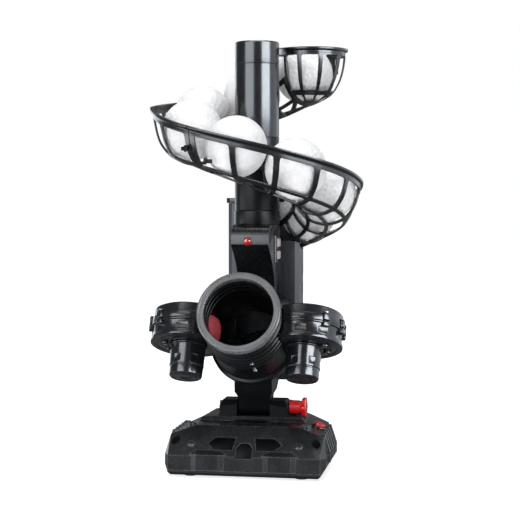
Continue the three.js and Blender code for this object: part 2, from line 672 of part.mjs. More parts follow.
function columnBracket() {
  // upper part stays inside the trough; lower part reaches back to the tower
  const plan = union(
    cylinder(PATH_R - TROUGH_RO, 180, 300, 24),
    wideBox(60, -60, TOWER_Y - GAP, 180, BRACKET_TOP),
    wideBox(60, -60, 0, 180, 300));
  return minus(sidePrism(BRACKET_OUTSIDE, 22.5).intersect(plan),
    sidePrism(BRACKET_INSIDE, 19.5), ...breechEnvelope, paddleSlot);
}
put(machine, 'column_bracket', MATERIAL.gloss, columnBracket());

const FEED_Y = 32;            // feed wheel axis
const FEED_Z = 237;
const FEED = alongX(0, FEED_Y, FEED_Z);
const FEED_SHAFT_R = 3;
put(machine, 'feed_motor', MATERIAL.steel, union(
  cylinder(12, 7.2, 16.4, 24, FEED),
  cylinder(FEED_SHAFT_R, -14, 8, 12, FEED)));

// half sizes in y and z of the two crossed paddle bars
const paddles = [[25.5, 2.5], [2.5, 25.5]].map(([halfY, halfZ]) =>
  wideBox(5, FEED_Y - halfY, FEED_Y + halfY, FEED_Z - halfZ, FEED_Z + halfZ));
put(machine, 'feed_wheel', MATERIAL.red, minus(
  union(cylinder(9, -5, 5, 20, FEED), ...paddles),
  cylinder(FEED_SHAFT_R + GAP, -10, 10, 16, FEED)));

const lens = put(machine, 'led_lens', MATERIAL.lens,
  lathe([[0, 0], [5.2, 0], [5.2, 1], [4.4, 3], [2.6, 4.4], [0, 5]], 20));
lens.rotation.x = Math.PI / 2;
lens.position.set(-2.5, -52.8, 275);

// ------------------------------------------------------------- speed buttons
const SPEED_BUTTONS = [['upper', 7, 271.5], ['lower', 7, 256.5]];    // name, y, z
// four corners of a rectangle facing sideways
const rectangle = (x, y0, y1, z0, z1) => [[x, y0, z0], [x, y0, z1], [x, y1, z0], [x, y1, z1]];

put(machine, 'button_panel', MATERIAL.satin, minus(
  hull([...rectangle(22.8, -8, 22, 247, 281), ...rectangle(24.8, -7, 21, 248, 280)]),
  ...SPEED_BUTTONS.map(([, y, z]) => box(15, 32, y - 9.4, y + 9.4, z - 5.6, z + 5.6))));

for (const [name, y, z] of SPEED_BUTTONS) {
  // x, half length, half height
  const sections = [[23.9, 9, 5.2], [25.7, 9, 5.2], [26.9, 8, 4.2]];
  put(machine, `speed_button_${name}`, MATERIAL.button, hull(sections.flatMap(
    ([x, halfY, halfZ]) => rectangle(x, y - halfY, y + halfY, z - halfZ, z + halfZ))));
}

// -------------------------------------------------------------- column stack
const COLLAR_TOP = 311;
const TUBE_JOINT = 399;
const TUBE_TOP = 487;
const COLUMN_TOP = 514;
const COLUMN_RI = 23.2;
const SPIGOT_R = 22.9;        // spigots stand up into the next piece
const SPIGOT_RI = 20;
const SPIGOT_H = 7;

const spigot = (z) => [[SPIGOT_R, z], [SPIGOT_R, z + SPIGOT_H], [SPIGOT_RI, z + SPIGOT_H]];
const columnTube = (z0, z1) => lathe([
  [COLUMN_RI, z0], [COLUMN_R, z0], [COLUMN_R, z1], ...spigot(z1),
  [SPIGOT_RI, z1 - 8], [COLUMN_RI, z1 - 12],
], 24);

put(machine, 'column_collar', MATERIAL.gloss, lathe([
  [SPIGOT_RI, COLLAR_Z + GAP], [27.6, COLLAR_Z + GAP], [27.6, COLLAR_TOP - 1],
  [27, COLLAR_TOP], ...spigot(COLLAR_TOP),
], 24));
put(machine, 'column_tube_lower', MATERIAL.gloss, columnTube(COLLAR_TOP + GAP, TUBE_JOINT));
put(machine, 'column_tube_upper', MATERIAL.gloss, columnTube(TUBE_JOINT + GAP, TUBE_TOP));
put(machine, 'column_cap', MATERIAL.gloss, lathe([
  [COLUMN_RI, TUBE_TOP + GAP], [COLUMN_R - 0.5, TUBE_TOP + GAP], [COLUMN_R, TUBE_TOP + 0.8],
  [COLUMN_R, COLUMN_TOP - 1.5], [COLUMN_R - 1.5, COLUMN_TOP], [0, COLUMN_TOP],
  [0, COLUMN_TOP - 3], [COLUMN_RI, COLUMN_TOP - 3],
], 24));

// ---------------------------------------------------------------------- ramp
const JOINT_TOP = 49;         // world angles of the module joints
const JOINT_MID = 241;
const JOINT_END = 433;
const JOINT_GAP = 0.15;       // degrees left free on each side of a joint
const ARM_R = 27.2;           // arms start just outside the column

// Rows across the trough, from the column side outwards: an angle on the arc,
// or a distance below the rim. A lip widens the outside.
const onArc = (...angles) => angles.map((angle) => ({ angle }));
const rimRows = (lip) => [{ below: 4.2 }, { below: 3, lip }, { below: 0, lip }];
const RAMP_ROWS = [
  ...onArc(190, 200, 217, 234, 241, 254, 267, 274, 287, 301, 308, 332),
  { below: 10.5 }, ...rimRows(3.2),
];
const RAMP_WINDOWS = new Set([1, 2, 4, 5, 7, 8, 10, 11]);   // rows left open between ribs
const BOWL_ROWS = [
  ...onArc(277, 288, 300, 312, 322, 343), { below: 20 }, { below: 9.5 }, ...rimRows(3.4),
];
const BOWL_WINDOWS = new Set([1, 2, 4, 5, 6]);

// inside and outside points of a row: [outwards, up] from the ball centre
function troughPoints({ angle, below, lip = 0 }, depth) {
  if (angle !== undefined) {
    return [TROUGH_RI, TROUGH_RO].map((radius) =>
      [radius * Math.cos(rad(angle)), radius * Math.sin(rad(angle))]);
  }
  const up = depth - below;
  const inside = TROUGH_RI + 1.2 * (up / RIM_HEIGHT);
  return [[inside, up], [inside + TROUGH_RO - TROUGH_RI + lip, up]];
}

// angles of both edges of each rib and of the middle of each bay
function ribbedStations(ribStarts, ribWidth) {
  const stations = [];
  const ribs = new Set();
  ribStarts.forEach((start, k) => {
    ribs.add(stations.length);
    stations.push(start, start + ribWidth);
    if (k < ribStarts.length - 1) stations.push((start + ribWidth + ribStarts[k + 1]) / 2);
  });
  return { stations, ribs };
}

function rampSegment(from, to) {
  const rib = 3.4;
  const bays = 8;
  const bay = (to - from - rib * (bays + 1)) / bays;
  const starts = Array.from({ length: bays + 1 }, (_, k) => from + k * (rib + bay));
  const { stations, ribs } = ribbedStations(starts, rib);
  const nodes = stations.map((degrees) => RAMP_ROWS.map((row) =>
    troughPoints(row, rimDepth(degrees)).map(([outwards, up]) =>
      aroundColumn(PATH_R + outwards, degrees, pathZ(degrees) + up))));
  return gridShell(nodes, (i, j) => ribs.has(i) || !RAMP_WINDOWS.has(j));
}

// bar from the column to the trough
const arm = (degrees, z0, z1, endR, halfWidth) => box(
  ARM_R, endR, -halfWidth, halfWidth, z0, z1, new THREE.Matrix4().makeRotationZ(rad(degrees)));
const segmentArm = (degrees) => arm(degrees, pathZ(degrees) - 17, pathZ(degrees) - 9, 44.4, 5);

put(machine, 'ramp_segment_upper', MATERIAL.satin, union(
  rampSegment(JOINT_TOP + JOINT_GAP, JOINT_MID - JOINT_GAP), segmentArm(228), segmentArm(146)));
put(machine, 'ramp_segment_lower', MATERIAL.satin, union(
  rampSegment(JOINT_MID + JOINT_GAP, JOINT_END - JOINT_GAP), segmentArm(338)));

// half bowl that closes the top of the ramp
function endBowl() {
  const depth = rimDepth(JOINT_TOP);
  const centre = aroundColumn(PATH_R, JOINT_TOP, pathZ(JOINT_TOP));
  const radial = aroundColumn(1, JOINT_TOP, 0);
  const endwards = vec(radial.y, -radial.x, 0);
  const bowlR = 44.4;
  const stretch = 1.05;       // lengthens the bowl along the path
  const jointGap = endwards.clone().multiplyScalar(0.25);

  // six ribs around the half turn; the inner four are shifted
  const rib = 7;
  const ribShift = 7;
  const bay = (180 - rib * 6) / 5;
  const starts = [0, 1, 2, 3, 4, 5].map((k) =>
    k * (bay + rib) + (k > 0 && k < 5 ? ribShift : 0));
  const { stations, ribs } = ribbedStations(starts, rib);

  // the closed end narrows downwards more than the trough does
  const eggZ = depth - 14;    // widest height of the egg shape
  const eggHeight = eggZ + TROUGH_RO - 1.5;
  function bowlRadius(outwards, up, turn) {
    const share = Math.sin(rad(turn)) ** 0.8;
    const widest = bowlR * (Math.hypot(outwards, Math.min(up, 0)) / TROUGH_RO);
    const egg = widest * Math.sqrt(Math.max(0, 1 - (Math.min(0, up - eggZ) / eggHeight) ** 2));
    const strength = up < depth - 9 ? 1 : 0.6;
    return outwards + share * (egg - Math.min(outwards, widest)) * strength;
  }

  const nodes = stations.map((turn) => BOWL_ROWS.map((row) =>
    troughPoints(row, depth).map(([outwards, up]) => {
      const radius = bowlRadius(outwards, up, turn);
      return centre.clone()
        .addScaledVector(radial, radius * Math.cos(rad(turn)))
        .addScaledVector(endwards, radius * Math.sin(rad(turn)) * stretch)
        .add(vec(0, 0, up))
        .add(jointGap);
    })));
  const shell = gridShell(nodes, (i, j) => ribs.has(i) || !BOWL_WINDOWS.has(j));
  const rim = centre.z + depth;
  return union(shell, arm(46, rim - 11, rim - 1, 43.6, 6));
}
put(machine, 'ramp_end_bowl', MATERIAL.satin, endBowl());

// --------------------------------------------------------------------- balls
const BALL_R = 36;            // 72 mm practice ball
const BALL_ANGLES = [55, 104, 153, 213, 263, 312, 361, 410];
BALL_ANGLES.forEach((degrees, k) => {
  const ball = put(machine, `ball_${k + 1}`, MATERIAL.ball, sphere(BALL_R, 12, 8));
  ball.position.copy(aroundColumn(PATH_R, degrees, pathZ(degrees)));
});

export default group;
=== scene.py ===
"""Ball launcher on its base: two foam wheels in a tilted barrel, a breech and tower behind them,
and a column with a spiral ramp that holds eight balls.

The muzzle points to -Y and up, +X is the right side, and the floor is z = 0. Pieces are drawn in
millimetres in the column frame, whose Z axis is the column's, and are scaled to metres.
"""
from math import acos, atan, atan2, cos, hypot, pi, radians, sin, sqrt, tan

import bpy
import bmesh
import numpy as np
from mathutils import Matrix, Vector


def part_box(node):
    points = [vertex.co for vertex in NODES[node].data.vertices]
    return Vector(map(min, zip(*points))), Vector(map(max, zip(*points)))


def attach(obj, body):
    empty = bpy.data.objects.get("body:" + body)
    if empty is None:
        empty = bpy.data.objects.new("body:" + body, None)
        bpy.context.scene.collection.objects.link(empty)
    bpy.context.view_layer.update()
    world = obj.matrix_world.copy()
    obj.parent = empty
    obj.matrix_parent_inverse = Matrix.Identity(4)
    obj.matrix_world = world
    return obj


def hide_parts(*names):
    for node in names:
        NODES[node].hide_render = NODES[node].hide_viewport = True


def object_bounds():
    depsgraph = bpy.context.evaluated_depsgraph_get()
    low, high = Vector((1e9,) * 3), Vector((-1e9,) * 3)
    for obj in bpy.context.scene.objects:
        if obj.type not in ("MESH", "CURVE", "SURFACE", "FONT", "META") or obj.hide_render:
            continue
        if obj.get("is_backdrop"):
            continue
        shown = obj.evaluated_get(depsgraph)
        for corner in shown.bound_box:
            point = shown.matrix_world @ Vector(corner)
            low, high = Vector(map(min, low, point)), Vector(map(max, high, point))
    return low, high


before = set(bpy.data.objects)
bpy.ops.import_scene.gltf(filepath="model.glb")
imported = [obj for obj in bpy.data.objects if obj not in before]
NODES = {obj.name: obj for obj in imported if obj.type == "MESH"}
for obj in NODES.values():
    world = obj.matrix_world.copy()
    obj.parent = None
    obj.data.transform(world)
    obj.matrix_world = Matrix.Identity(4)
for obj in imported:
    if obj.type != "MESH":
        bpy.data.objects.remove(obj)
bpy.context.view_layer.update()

# ============================================================== dimensions
MM = 0.001
SIDES = (("left", -1), ("right", 1))
COLUMN_Y = 19.0                                # column axis behind the origin
ELEVATION = 25.0                               # of the barrel, degrees
WHEEL_X, WHEEL_Y, WHEEL_Z = 68.5, -70.0, 171.0
WHEEL_CASE_R, WHEEL_CASE_HALF = 41, 15         # hollow of the wheel case
BORE_R = 40.2
FLANGE_R, FLANGE_Z = 51, -45.3                 # breech flange, along the barrel
BREECH = (0.0, -23.0, 149.0)                   # centre of the breech sphere
CHUTE_SLOPE = 17.0
CHUTE_R = 43.2
PIVOT_Y, PIVOT_Z = -10.0, 73.0                 # tilt hinge
NOSE_Y, NOSE_Z, NOSE_RUN, NOSE_RISE = -97, 26, 27, 32    # front slope of the base
TOWER_R, TOWER_Y = 45, 84                      # round back of the tower
TOWER_FRONT, TOWER_CHAMFER = 47, 5
PATH_R = 84.0                                  # ball path round the column
BALL_R = 36.0


# ================================================================== frames
def shift(x, y, z):
    return Matrix.Translation((x, y, z))


def turn(degrees, axis):
    return Matrix.Rotation(radians(degrees), 4, axis)


def facing(direction):
    """Rotation that takes +Z to a direction."""
    turned = Vector((0, 0, 1)).rotation_difference(Vector(direction).normalized())
    return turned.to_matrix().to_4x4()


COLUMN = Matrix.Scale(MM, 4) @ shift(0, COLUMN_Y, 0)


def at(x, y, z):
    return COLUMN @ shift(x, y, z)


LAUNCH = at(0, WHEEL_Y, WHEEL_Z) @ turn(90 - ELEVATION, "X")       # Z along the barrel
CHUTE = at(*BREECH) @ turn(CHUTE_SLOPE - 90, "X")                  # Z up the chute
ALONG_X = turn(90, "Y")
ALONG_Y = turn(-90, "X")
HINGE_AXIS = at(0, PIVOT_Y, PIVOT_Z) @ ALONG_X


def wheel_frame(s):
    """Z up the axle of a wheel; s is -1 on the left and 1 on the right."""
    return LAUNCH @ shift(s * WHEEL_X, 0, 0) @ ALONG_Y


# =============================================================== materials
class Shader:
    """A Principled material. Its methods return output sockets."""

    def __init__(self, name):
        self.material = bpy.data.materials.new(name)
        self.material.use_nodes = True
        self.tree = self.material.node_tree
        self.tree.nodes.clear()
        output = self.node("OutputMaterial")
        self.principled = self.node("BsdfPrincipled")
        self.put(output, {"Surface": self.principled.outputs["BSDF"]})
        self.position = self.node("TexCoord").outputs["Object"]

    def put(self, node, inputs):
        """Links the sockets and sets the plain values."""
        for key, value in inputs.items():
            if isinstance(value, bpy.types.NodeSocket):
                self.tree.links.new(value, node.inputs[key])
            else:
                node.inputs[key].default_value = value

    def node(self, kind, inputs=None, **settings):
        node = self.tree.nodes.new("ShaderNode" + kind)
        for key, value in settings.items():
            setattr(node, key, value)
        self.put(node, inputs or {})
        return node

    def surface(self, inputs):
        self.put(self.principled, inputs)

    def noise(self, scale, detail=3.0, roughness=0.55, stretch=(1, 1, 1), offset=(0, 0, 0)):
        mapping = self.node("Mapping", {"Vector": self.position, "Location": offset,
                                        "Scale": stretch})
        return self.node("TexNoise", {"Vector": mapping.outputs["Vector"], "Scale": scale,
                                      "Detail": detail, "Roughness": roughness}).outputs["Fac"]

    def remap(self, value, source=(0.3, 0.7), target=(0.0, 1.0)):
        return self.node("MapRange", {
            "Value": value, "From Min": source[0], "From Max": source[1],
            "To Min": target[0], "To Max": target[1]}).outputs["Result"]

    def mix(self, factor, first, second):
        """Blends two colours; the first may be a socket. 6 and 7 are the colour inputs."""
        if isinstance(first, tuple):
            first = (*first, 1)
        return self.node("Mix", {"Factor": factor, 6: first, 7: (*second, 1)},
                         data_type="RGBA").outputs[2]

    def math(self, operation, first, second):
        return self.node("Math", {0: first, 1: second}, operation=operation).outputs["Value"]

    def bump(self, height, strength, distance, previous=None):
        inputs = {"Height": height, "Strength": strength, "Distance": distance}
        if previous is not None:
            inputs["Normal"] = previous
        return self.node("Bump", inputs).outputs["Normal"]

    def edges(self, radius):
        """1 on sharp convex and concave edges, 0 on flats."""
        rounded = self.node("Bevel", {"Radius": radius}, samples=4).outputs["Normal"]
        flat = self.node("NewGeometry").outputs["Normal"]
        match = self.node("VectorMath", {0: rounded, 1: flat}, operation="DOT_PRODUCT")
        return self.remap(match.outputs["Value"], source=(0.985, 0.90))


def plastic(name, color, lighter, rough=(0.3, 0.4), grain=(2600, 0.12), peel=(260, 0.04),
            coat=0.0, wear_and_highlight=0.25, wear_and_highlight_color=None, scratch=0.0, specular=0.5, edge=0.0006):
    """Moulded plastic. grain and peel are bumps (noise scale, strength); edge is the width of the
    lighter edge band, which is edge wear and, on the base shell, a painted edge highlight.
    """
    s = Shader(name)
    tone = s.noise(scale=38, detail=4)
    base = s.mix(s.remap(tone, source=(0.3, 0.75)), color, lighter)
    patches = s.noise(scale=75, detail=5, roughness=0.65, offset=(0.3, 0.1, 0.2))
    roughness = s.remap(patches, target=rough)
    # Lighter colour along sharp edges: edge wear, and on the base shell a painted highlight for
    # light caught by the edges.
    if wear_and_highlight > 0:
        wear_and_highlight_mask = s.edges(edge)
        breakup = s.remap(s.noise(scale=420, roughness=0.6), (0.35, 0.65), (0.2, 1.0))
        wear_and_highlight_mask = s.math("MULTIPLY", s.math("MULTIPLY", wear_and_highlight_mask, breakup), wear_and_highlight)
        base = s.mix(wear_and_highlight_mask, base, wear_and_highlight_color or tuple(min(1, x * 2.2 + 0.03) for x in lighter))
        rougher = 0.3                          # added roughness where the edge band is full
        roughness = s.math("ADD", roughness, s.math("MULTIPLY", wear_and_highlight_mask, rougher))
    s.surface({"Base Color": base, "Roughness": roughness, "Specular IOR Level": specular})
    if coat:
        s.surface({"Coat Weight": coat, "Coat Roughness": rough[0] * 0.6})
    normal = s.bump(s.noise(scale=grain[0], detail=2), strength=grain[1], distance=0.0001)
    normal = s.bump(s.noise(scale=peel[0], detail=2), peel[1], distance=0.0006, previous=normal)
    if scratch:
        lines = s.noise(scale=900, detail=2, roughness=0.5, stretch=(1, 1, 0.03))
        normal = s.bump(lines, strength=scratch, distance=0.0001, previous=normal)
    s.surface({"Normal": normal})
    return s.material


def metal(name, color, rough=(0.22, 0.38), stretch=(1, 1, 0.04)):
    s = Shader(name)
    brushed = s.noise(scale=1400, roughness=0.6, stretch=stretch)
    s.surface({
        "Base Color": s.mix(s.remap(brushed), color, tuple(x * 0.7 for x in color)),
        "Roughness": s.remap(s.noise(scale=300, detail=4), target=rough),
        "Metallic": 1.0,
        "Normal": s.bump(brushed, strength=0.12, distance=0.0001)})
    return s.material


def foam(name, color, deep):
    s = Shader(name)
    cells = s.node("TexVoronoi", {"Scale": 900, "Vector": s.position}).outputs["Distance"]
    base = s.mix(s.remap(cells, source=(0.1, 0.7)), deep, color)
    normal = s.bump(cells, strength=0.5, distance=0.0004)
    normal = s.bump(s.noise(scale=90), strength=0.2, distance=0.001, previous=normal)
    # Emission on the foam is a painted glow that brightens the tyres; they give no light of their
    # own.
    s.surface({
        "Base Color": base, "Roughness": 0.85,
        "Emission Color": base, "Emission Strength": 0.10,
        "Subsurface Weight": 0.12, "Subsurface Scale": 0.002,
        "Normal": normal})
    return s.material


def ball_skin(name):
    s = Shader(name)
    tone = s.remap(s.noise(scale=45, detail=4, roughness=0.6), source=(0.35, 0.75))
    s.surface({
        "Base Color": s.mix(tone, (0.83, 0.832, 0.84), (0.74, 0.743, 0.755)),
        "Roughness": s.remap(s.noise(scale=200, detail=4), target=(0.42, 0.6)),
        "Subsurface Weight": 0.25, "Subsurface Radius": (1.0, 0.9, 0.85),
        "Subsurface Scale": 0.003,
        "Coat Weight": 0.15, "Coat Roughness": 0.35,
        "Normal": s.bump(s.noise(scale=2400, detail=2), strength=0.12, distance=0.0002)})
    return s.material


def lens_red(name):
    s = Shader(name)
    grain = s.noise(scale=700, detail=2)
    base = s.mix(s.remap(grain), (0.42, 0.006, 0.008), (0.60, 0.02, 0.02))
    # Emission here is a faint painted glow; the LED is not lit.
    s.surface({
        "Base Color": base, "Roughness": 0.08,
        "Emission Color": base, "Emission Strength": 0.03,
        "Transmission Weight": 0.1, "Coat Weight": 1.0,
        "Normal": s.bump(grain, strength=0.05, distance=0.0001)})
    return s.material


def board_green(name):
    s = Shader(name)
    tracks = s.node("TexBrick", {
        "Scale": 260, "Vector": s.position, "Color1": (0.01, 0.07, 0.03, 1),
        "Color2": (0.015, 0.1, 0.04, 1), "Mortar": (0.05, 0.22, 0.08, 1)})
    s.surface({
        "Base Color": tracks.outputs["Color"], "Roughness": 0.35,
        "Normal": s.bump(tracks.outputs["Fac"], strength=0.3, distance=0.0002)})
    return s.material


def floor_white(name):
    """White floor that glows more away from the centre."""
    s = Shader(name)
    tone = s.remap(s.noise(scale=3, detail=2))
    radius = s.node("VectorMath", {0: s.position}, operation="LENGTH").outputs["Value"]
    s.surface({
        "Base Color": s.mix(tone, (0.60, 0.60, 0.60), (0.63, 0.63, 0.63)),
        "Roughness": 0.9, "Specular IOR Level": 0.1, "Emission Color": (1, 1, 1, 1),
        "Emission Strength": s.remap(radius, source=(0.30, 0.75), target=(0.80, 1.0))})
    return s.material


# Bumps shared by the smooth column parts and by the satin mouldings
SMOOTH = dict(grain=(1800, 0.03), peel=(90, 0.05), scratch=0.05)
FINE = dict(grain=(2400, 0.08), peel=(140, 0.06))

# Darker, less shiny copy of the column black for the collar and lower tube: painted shade of the
# ramp and balls above them.
COLUMN_LOW_SHADED = plastic("column_low_shaded_black", color=(0.0034, 0.0040, 0.0052),
                     lighter=(0.0058, 0.0066, 0.0082), rough=(0.26, 0.38),
                     specular=0.16, wear_and_highlight=0.3, **SMOOTH)
HINGE = plastic("hinge_black", color=(0.0022, 0.0024, 0.0028), lighter=(0.0042, 0.0045, 0.0052),
                rough=(0.34, 0.46), grain=(1700, 0.10), peel=(120, 0.05), specular=0.14,
                wear_and_highlight=0.5, wear_and_highlight_color=(0.030, 0.032, 0.036))
COLUMN_BLACK = plastic("column_black", color=(0.0062, 0.0074, 0.0100),
                       lighter=(0.0100, 0.0118, 0.0155), rough=(0.17, 0.26),
                       coat=0.25, wear_and_highlight=0.3, **SMOOTH)
BARREL = plastic("barrel_black", color=(0.0040, 0.0043, 0.0050), lighter=(0.0070, 0.0074, 0.0084),
                 rough=(0.26, 0.38), specular=0.20, wear_and_highlight=0.3, **FINE)
GLOSS = plastic("gloss_black", color=(0.0058, 0.0066, 0.0084), lighter=(0.0092, 0.0104, 0.0130),
                rough=(0.15, 0.25), grain=(1800, 0.035), peel=(90, 0.05), coat=0.30,
                wear_and_highlight=0.5, scratch=0.05)
SATIN = plastic("satin_black", color=(0.0050, 0.0053, 0.0062), lighter=(0.0085, 0.0090, 0.0102),
                rough=(0.22, 0.34), coat=0.15, wear_and_highlight=0.35, **FINE)
# Tower shell: grey base colour, far lighter than the other blacks, is painted sheen standing for
# the light its faces reflect.
TOWER_SHEEN = plastic("tower_satin_painted_sheen", color=(0.038, 0.0425, 0.0515), lighter=(0.052, 0.0575, 0.0690),
                rough=(0.28, 0.40), coat=0.1, wear_and_highlight=0.35, **FINE)
RAMP = plastic("ramp_black", color=(0.0046, 0.0050, 0.0060), lighter=(0.0078, 0.0084, 0.0098),
               rough=(0.22, 0.34), grain=(2400, 0.05), peel=(150, 0.05), coat=0.25, wear_and_highlight=0.0)
# Base shell: the bright edge colour is a painted edge highlight, light lines drawn along every
# sharp edge.
SHELL = plastic("base_black", color=(0.0128, 0.0137, 0.0154), lighter=(0.0232, 0.0246, 0.0273),
                rough=(0.20, 0.32), grain=(1500, 0.09), peel=(120, 0.06), coat=0.04,
                specular=0.40, wear_and_highlight=1.0, wear_and_highlight_color=(0.190, 0.198, 0.210), edge=0.0013)
# Near-black and dull: the hood plate, and the dark sheets in the nose recesses, the corner pockets
# and the charging notch, which are painted shade.
INLAY_AND_SHADE = plastic("inlay_and_shade_black", color=(0.0015, 0.0015, 0.0017), lighter=(0.0028, 0.0028, 0.0030),
                rough=(0.38, 0.5), grain=(1700, 0.12), peel=(120, 0.05), specular=0.08, wear_and_highlight=0.15)
PAN = plastic("pan_black", color=(0.003, 0.003, 0.0033), lighter=(0.006, 0.006, 0.0064),
              rough=(0.4, 0.55), grain=(1300, 0.3))
GREY = plastic("muzzle_grey", color=(0.075, 0.078, 0.082), lighter=(0.115, 0.119, 0.124),
               rough=(0.22, 0.34), grain=(2000, 0.10), peel=(160, 0.06), wear_and_highlight=0.4,
               wear_and_highlight_color=(0.35, 0.35, 0.36), coat=0.1)
RED = plastic("red_plastic", color=(0.80, 0.010, 0.012), lighter=(0.95, 0.018, 0.020),
              rough=(0.22, 0.34), grain=(2200, 0.10), peel=(220, 0.06), coat=0.3,
              wear_and_highlight=0.3, wear_and_highlight_color=(0.95, 0.25, 0.22))
RUBBER = plastic("rubber_black", color=(0.006, 0.006, 0.006), lighter=(0.012, 0.012, 0.012),
                 rough=(0.7, 0.85), grain=(1100, 0.4), wear_and_highlight=0.2)
BUTTON = plastic("button_white", color=(0.50, 0.40, 0.42), lighter=(0.66, 0.58, 0.59),
                 rough=(0.35, 0.45), grain=(2400, 0.1), wear_and_highlight=0.2)
SCREW = metal("screw_black_oxide", color=(0.16, 0.165, 0.17), rough=(0.25, 0.4),
              stretch=(1, 1, 1))
STEEL = metal("steel_turned", color=(0.62, 0.63, 0.65))
CELLS = metal("cell_jacket", color=(0.5, 0.51, 0.53), rough=(0.3, 0.45))
FOAM = foam("wheel_foam", color=(1.0, 0.13, 0.17), deep=(0.78, 0.045, 0.065))
BALL = ball_skin("ball_white")
LENS = lens_red("led_red")
BOARD = board_green("board_lacquer")


# ============================================================ mesh helpers
def fillet(points, radius, closed, steps):
    """Rounds the corners of a 2D outline."""
    if radius <= 0:
        return points
    rounded = []
    last = len(points) - 1
    for i, point in enumerate(points):
        corner = Vector(point)
        before = Vector(points[i - 1]) - corner
        after = Vector(points[(i + 1) % len(points)]) - corner
        before_length, after_length = before.length, after.length
        before /= before_length
        after /= after_length
        angle = acos(max(-1, min(1, before.dot(after))))
        if (not closed and i in (0, last)) or angle > radians(172):
            rounded.append(point)
            continue
        reach = min(radius / tan(angle / 2), before_length * 0.45, after_length * 0.45)
        start = corner + before * reach
        end = corner + after * reach
        for k in range(steps + 1):
            t = k / steps
            q = start * (1 - t) ** 2 + corner * 2 * t * (1 - t) + end * t * t
            rounded.append((q.x, q.y))
    return rounded


def revolve(profile, segments):
    """Turns (radius, z) points round Z; a profile that starts off the axis is closed."""
    verts, faces, rings = [], [], []
    for r, z in profile:
        if r < 1e-6:
            ring = [(0, 0, z)]
        else:
            angles = [2 * pi * k / segments for k in range(segments)]
            ring = [(r * cos(a), r * sin(a), z) for a in angles]
        rings.append(range(len(verts), len(verts) + len(ring)))
        verts += ring
    pairs = list(zip(rings, rings[1:]))
    if profile[0][0] >= 1e-6:
        pairs.append((rings[-1], rings[0]))
    for a, b in pairs:
        for k in range(segments):
            m = (k + 1) % segments
            corners = (a[k % len(a)], a[m % len(a)], b[m % len(b)], b[k % len(b)])
            faces.append(tuple(dict.fromkeys(corners)))    # a triangle at the axis
    return verts, faces


def add_object(name, mesh):
    obj = bpy.data.objects.new(name, mesh)
    bpy.context.scene.collection.objects.link(obj)
    return obj


def add_solid(name, mesh, matrix):
    """Moves a mesh to its frame, welds it and turns its normals outwards."""
    mesh.transform(matrix)
    bm = bmesh.new()
    bm.from_mesh(mesh)
    bmesh.ops.remove_doubles(bm, verts=bm.verts, dist=1e-7)
    bmesh.ops.recalc_face_normals(bm, faces=bm.faces)
    if bm.calc_volume(signed=True) < 0:
        bmesh.ops.reverse_faces(bm, faces=bm.faces)
    bm.to_mesh(mesh)
    bm.free()
    return add_object(name, mesh)


def solid(name, verts, faces, matrix=COLUMN):
    mesh = bpy.data.meshes.new(name)
    mesh.from_pydata(verts, [], faces)
    return add_solid(name, mesh, matrix)


def place(obj, material, body, nodes=(), angle=32):
    mesh = obj.data
    mesh.materials.clear()
    mesh.materials.append(material)
    for polygon in mesh.polygons:
        polygon.use_smooth = True
    mesh.set_sharp_from_angle(angle=radians(angle))
    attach(obj, body)
    if nodes:
        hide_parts(*nodes)


def remove(obj):
    mesh = obj.data
    bpy.data.objects.remove(obj)
    bpy.data.meshes.remove(mesh)


def apply_modifiers(obj):
    depsgraph = bpy.context.evaluated_depsgraph_get()
    depsgraph.update()
    applied = bpy.data.meshes.new_from_object(obj.evaluated_get(depsgraph))
    old = obj.data
    obj.modifiers.clear()
    obj.data = applied
    bpy.data.meshes.remove(old)
    return obj


def boolean(obj, tool, operation="DIFFERENCE"):
    modifier = obj.modifiers.new("b", "BOOLEAN")
    modifier.operation = operation
    modifier.solver = "EXACT"
    modifier.object = tool
    apply_modifiers(obj)
    remove(tool)


def bevel(obj, width, segments=2, angle=35):
    modifier = obj.modifiers.new("bevel", "BEVEL")
    modifier.width = width * MM
    modifier.segments = segments
    modifier.limit_method = "ANGLE"
    modifier.angle_limit = radians(angle)
    modifier.use_clamp_overlap = True
    return apply_modifiers(obj)


def lathe(name, profile, segments=96, matrix=COLUMN, corner=0.5, steps=3):
    closed = profile[0][0] > 1e-6
    verts, faces = revolve(fillet(profile, corner, closed, steps), segments)
    return solid(name, verts, faces, matrix)


def cylinder(name, r, z0, z1, segments=64, matrix=COLUMN):
    return lathe(name, [(0, z0), (r, z0), (r, z1), (0, z1)], segments, matrix, corner=0)


def sphere(name, r, centre, segments=96, rings=48):
    angles = [pi * k / rings for k in range(rings + 1)]
    verts, faces = revolve([(r * sin(a), centre[2] - r * cos(a)) for a in angles], segments)
    return solid(name, [(x + centre[0], y + centre[1], z) for x, y, z in verts], faces)


def block(name, x0, x1, y0, y1, z0, z1, matrix=COLUMN):
    verts = [(x, y, z) for x in (x0, x1) for y in (y0, y1) for z in (z0, z1)]
    faces = [(0, 1, 3, 2), (4, 6, 7, 5), (0, 4, 5, 1), (2, 3, 7, 6), (0, 2, 6, 4), (1, 5, 7, 3)]
    return solid(name, verts, faces, matrix)


def prism(name, outline, z0, z1, matrix=COLUMN):
    n = len(outline)
    verts = [(x, y, z) for z in (z0, z1) for x, y in outline]
    faces = [tuple(range(n))[::-1], tuple(range(n, 2 * n))]
    faces += [(k, (k + 1) % n, n + (k + 1) % n, n + k) for k in range(n)]
    return solid(name, verts, faces, matrix)


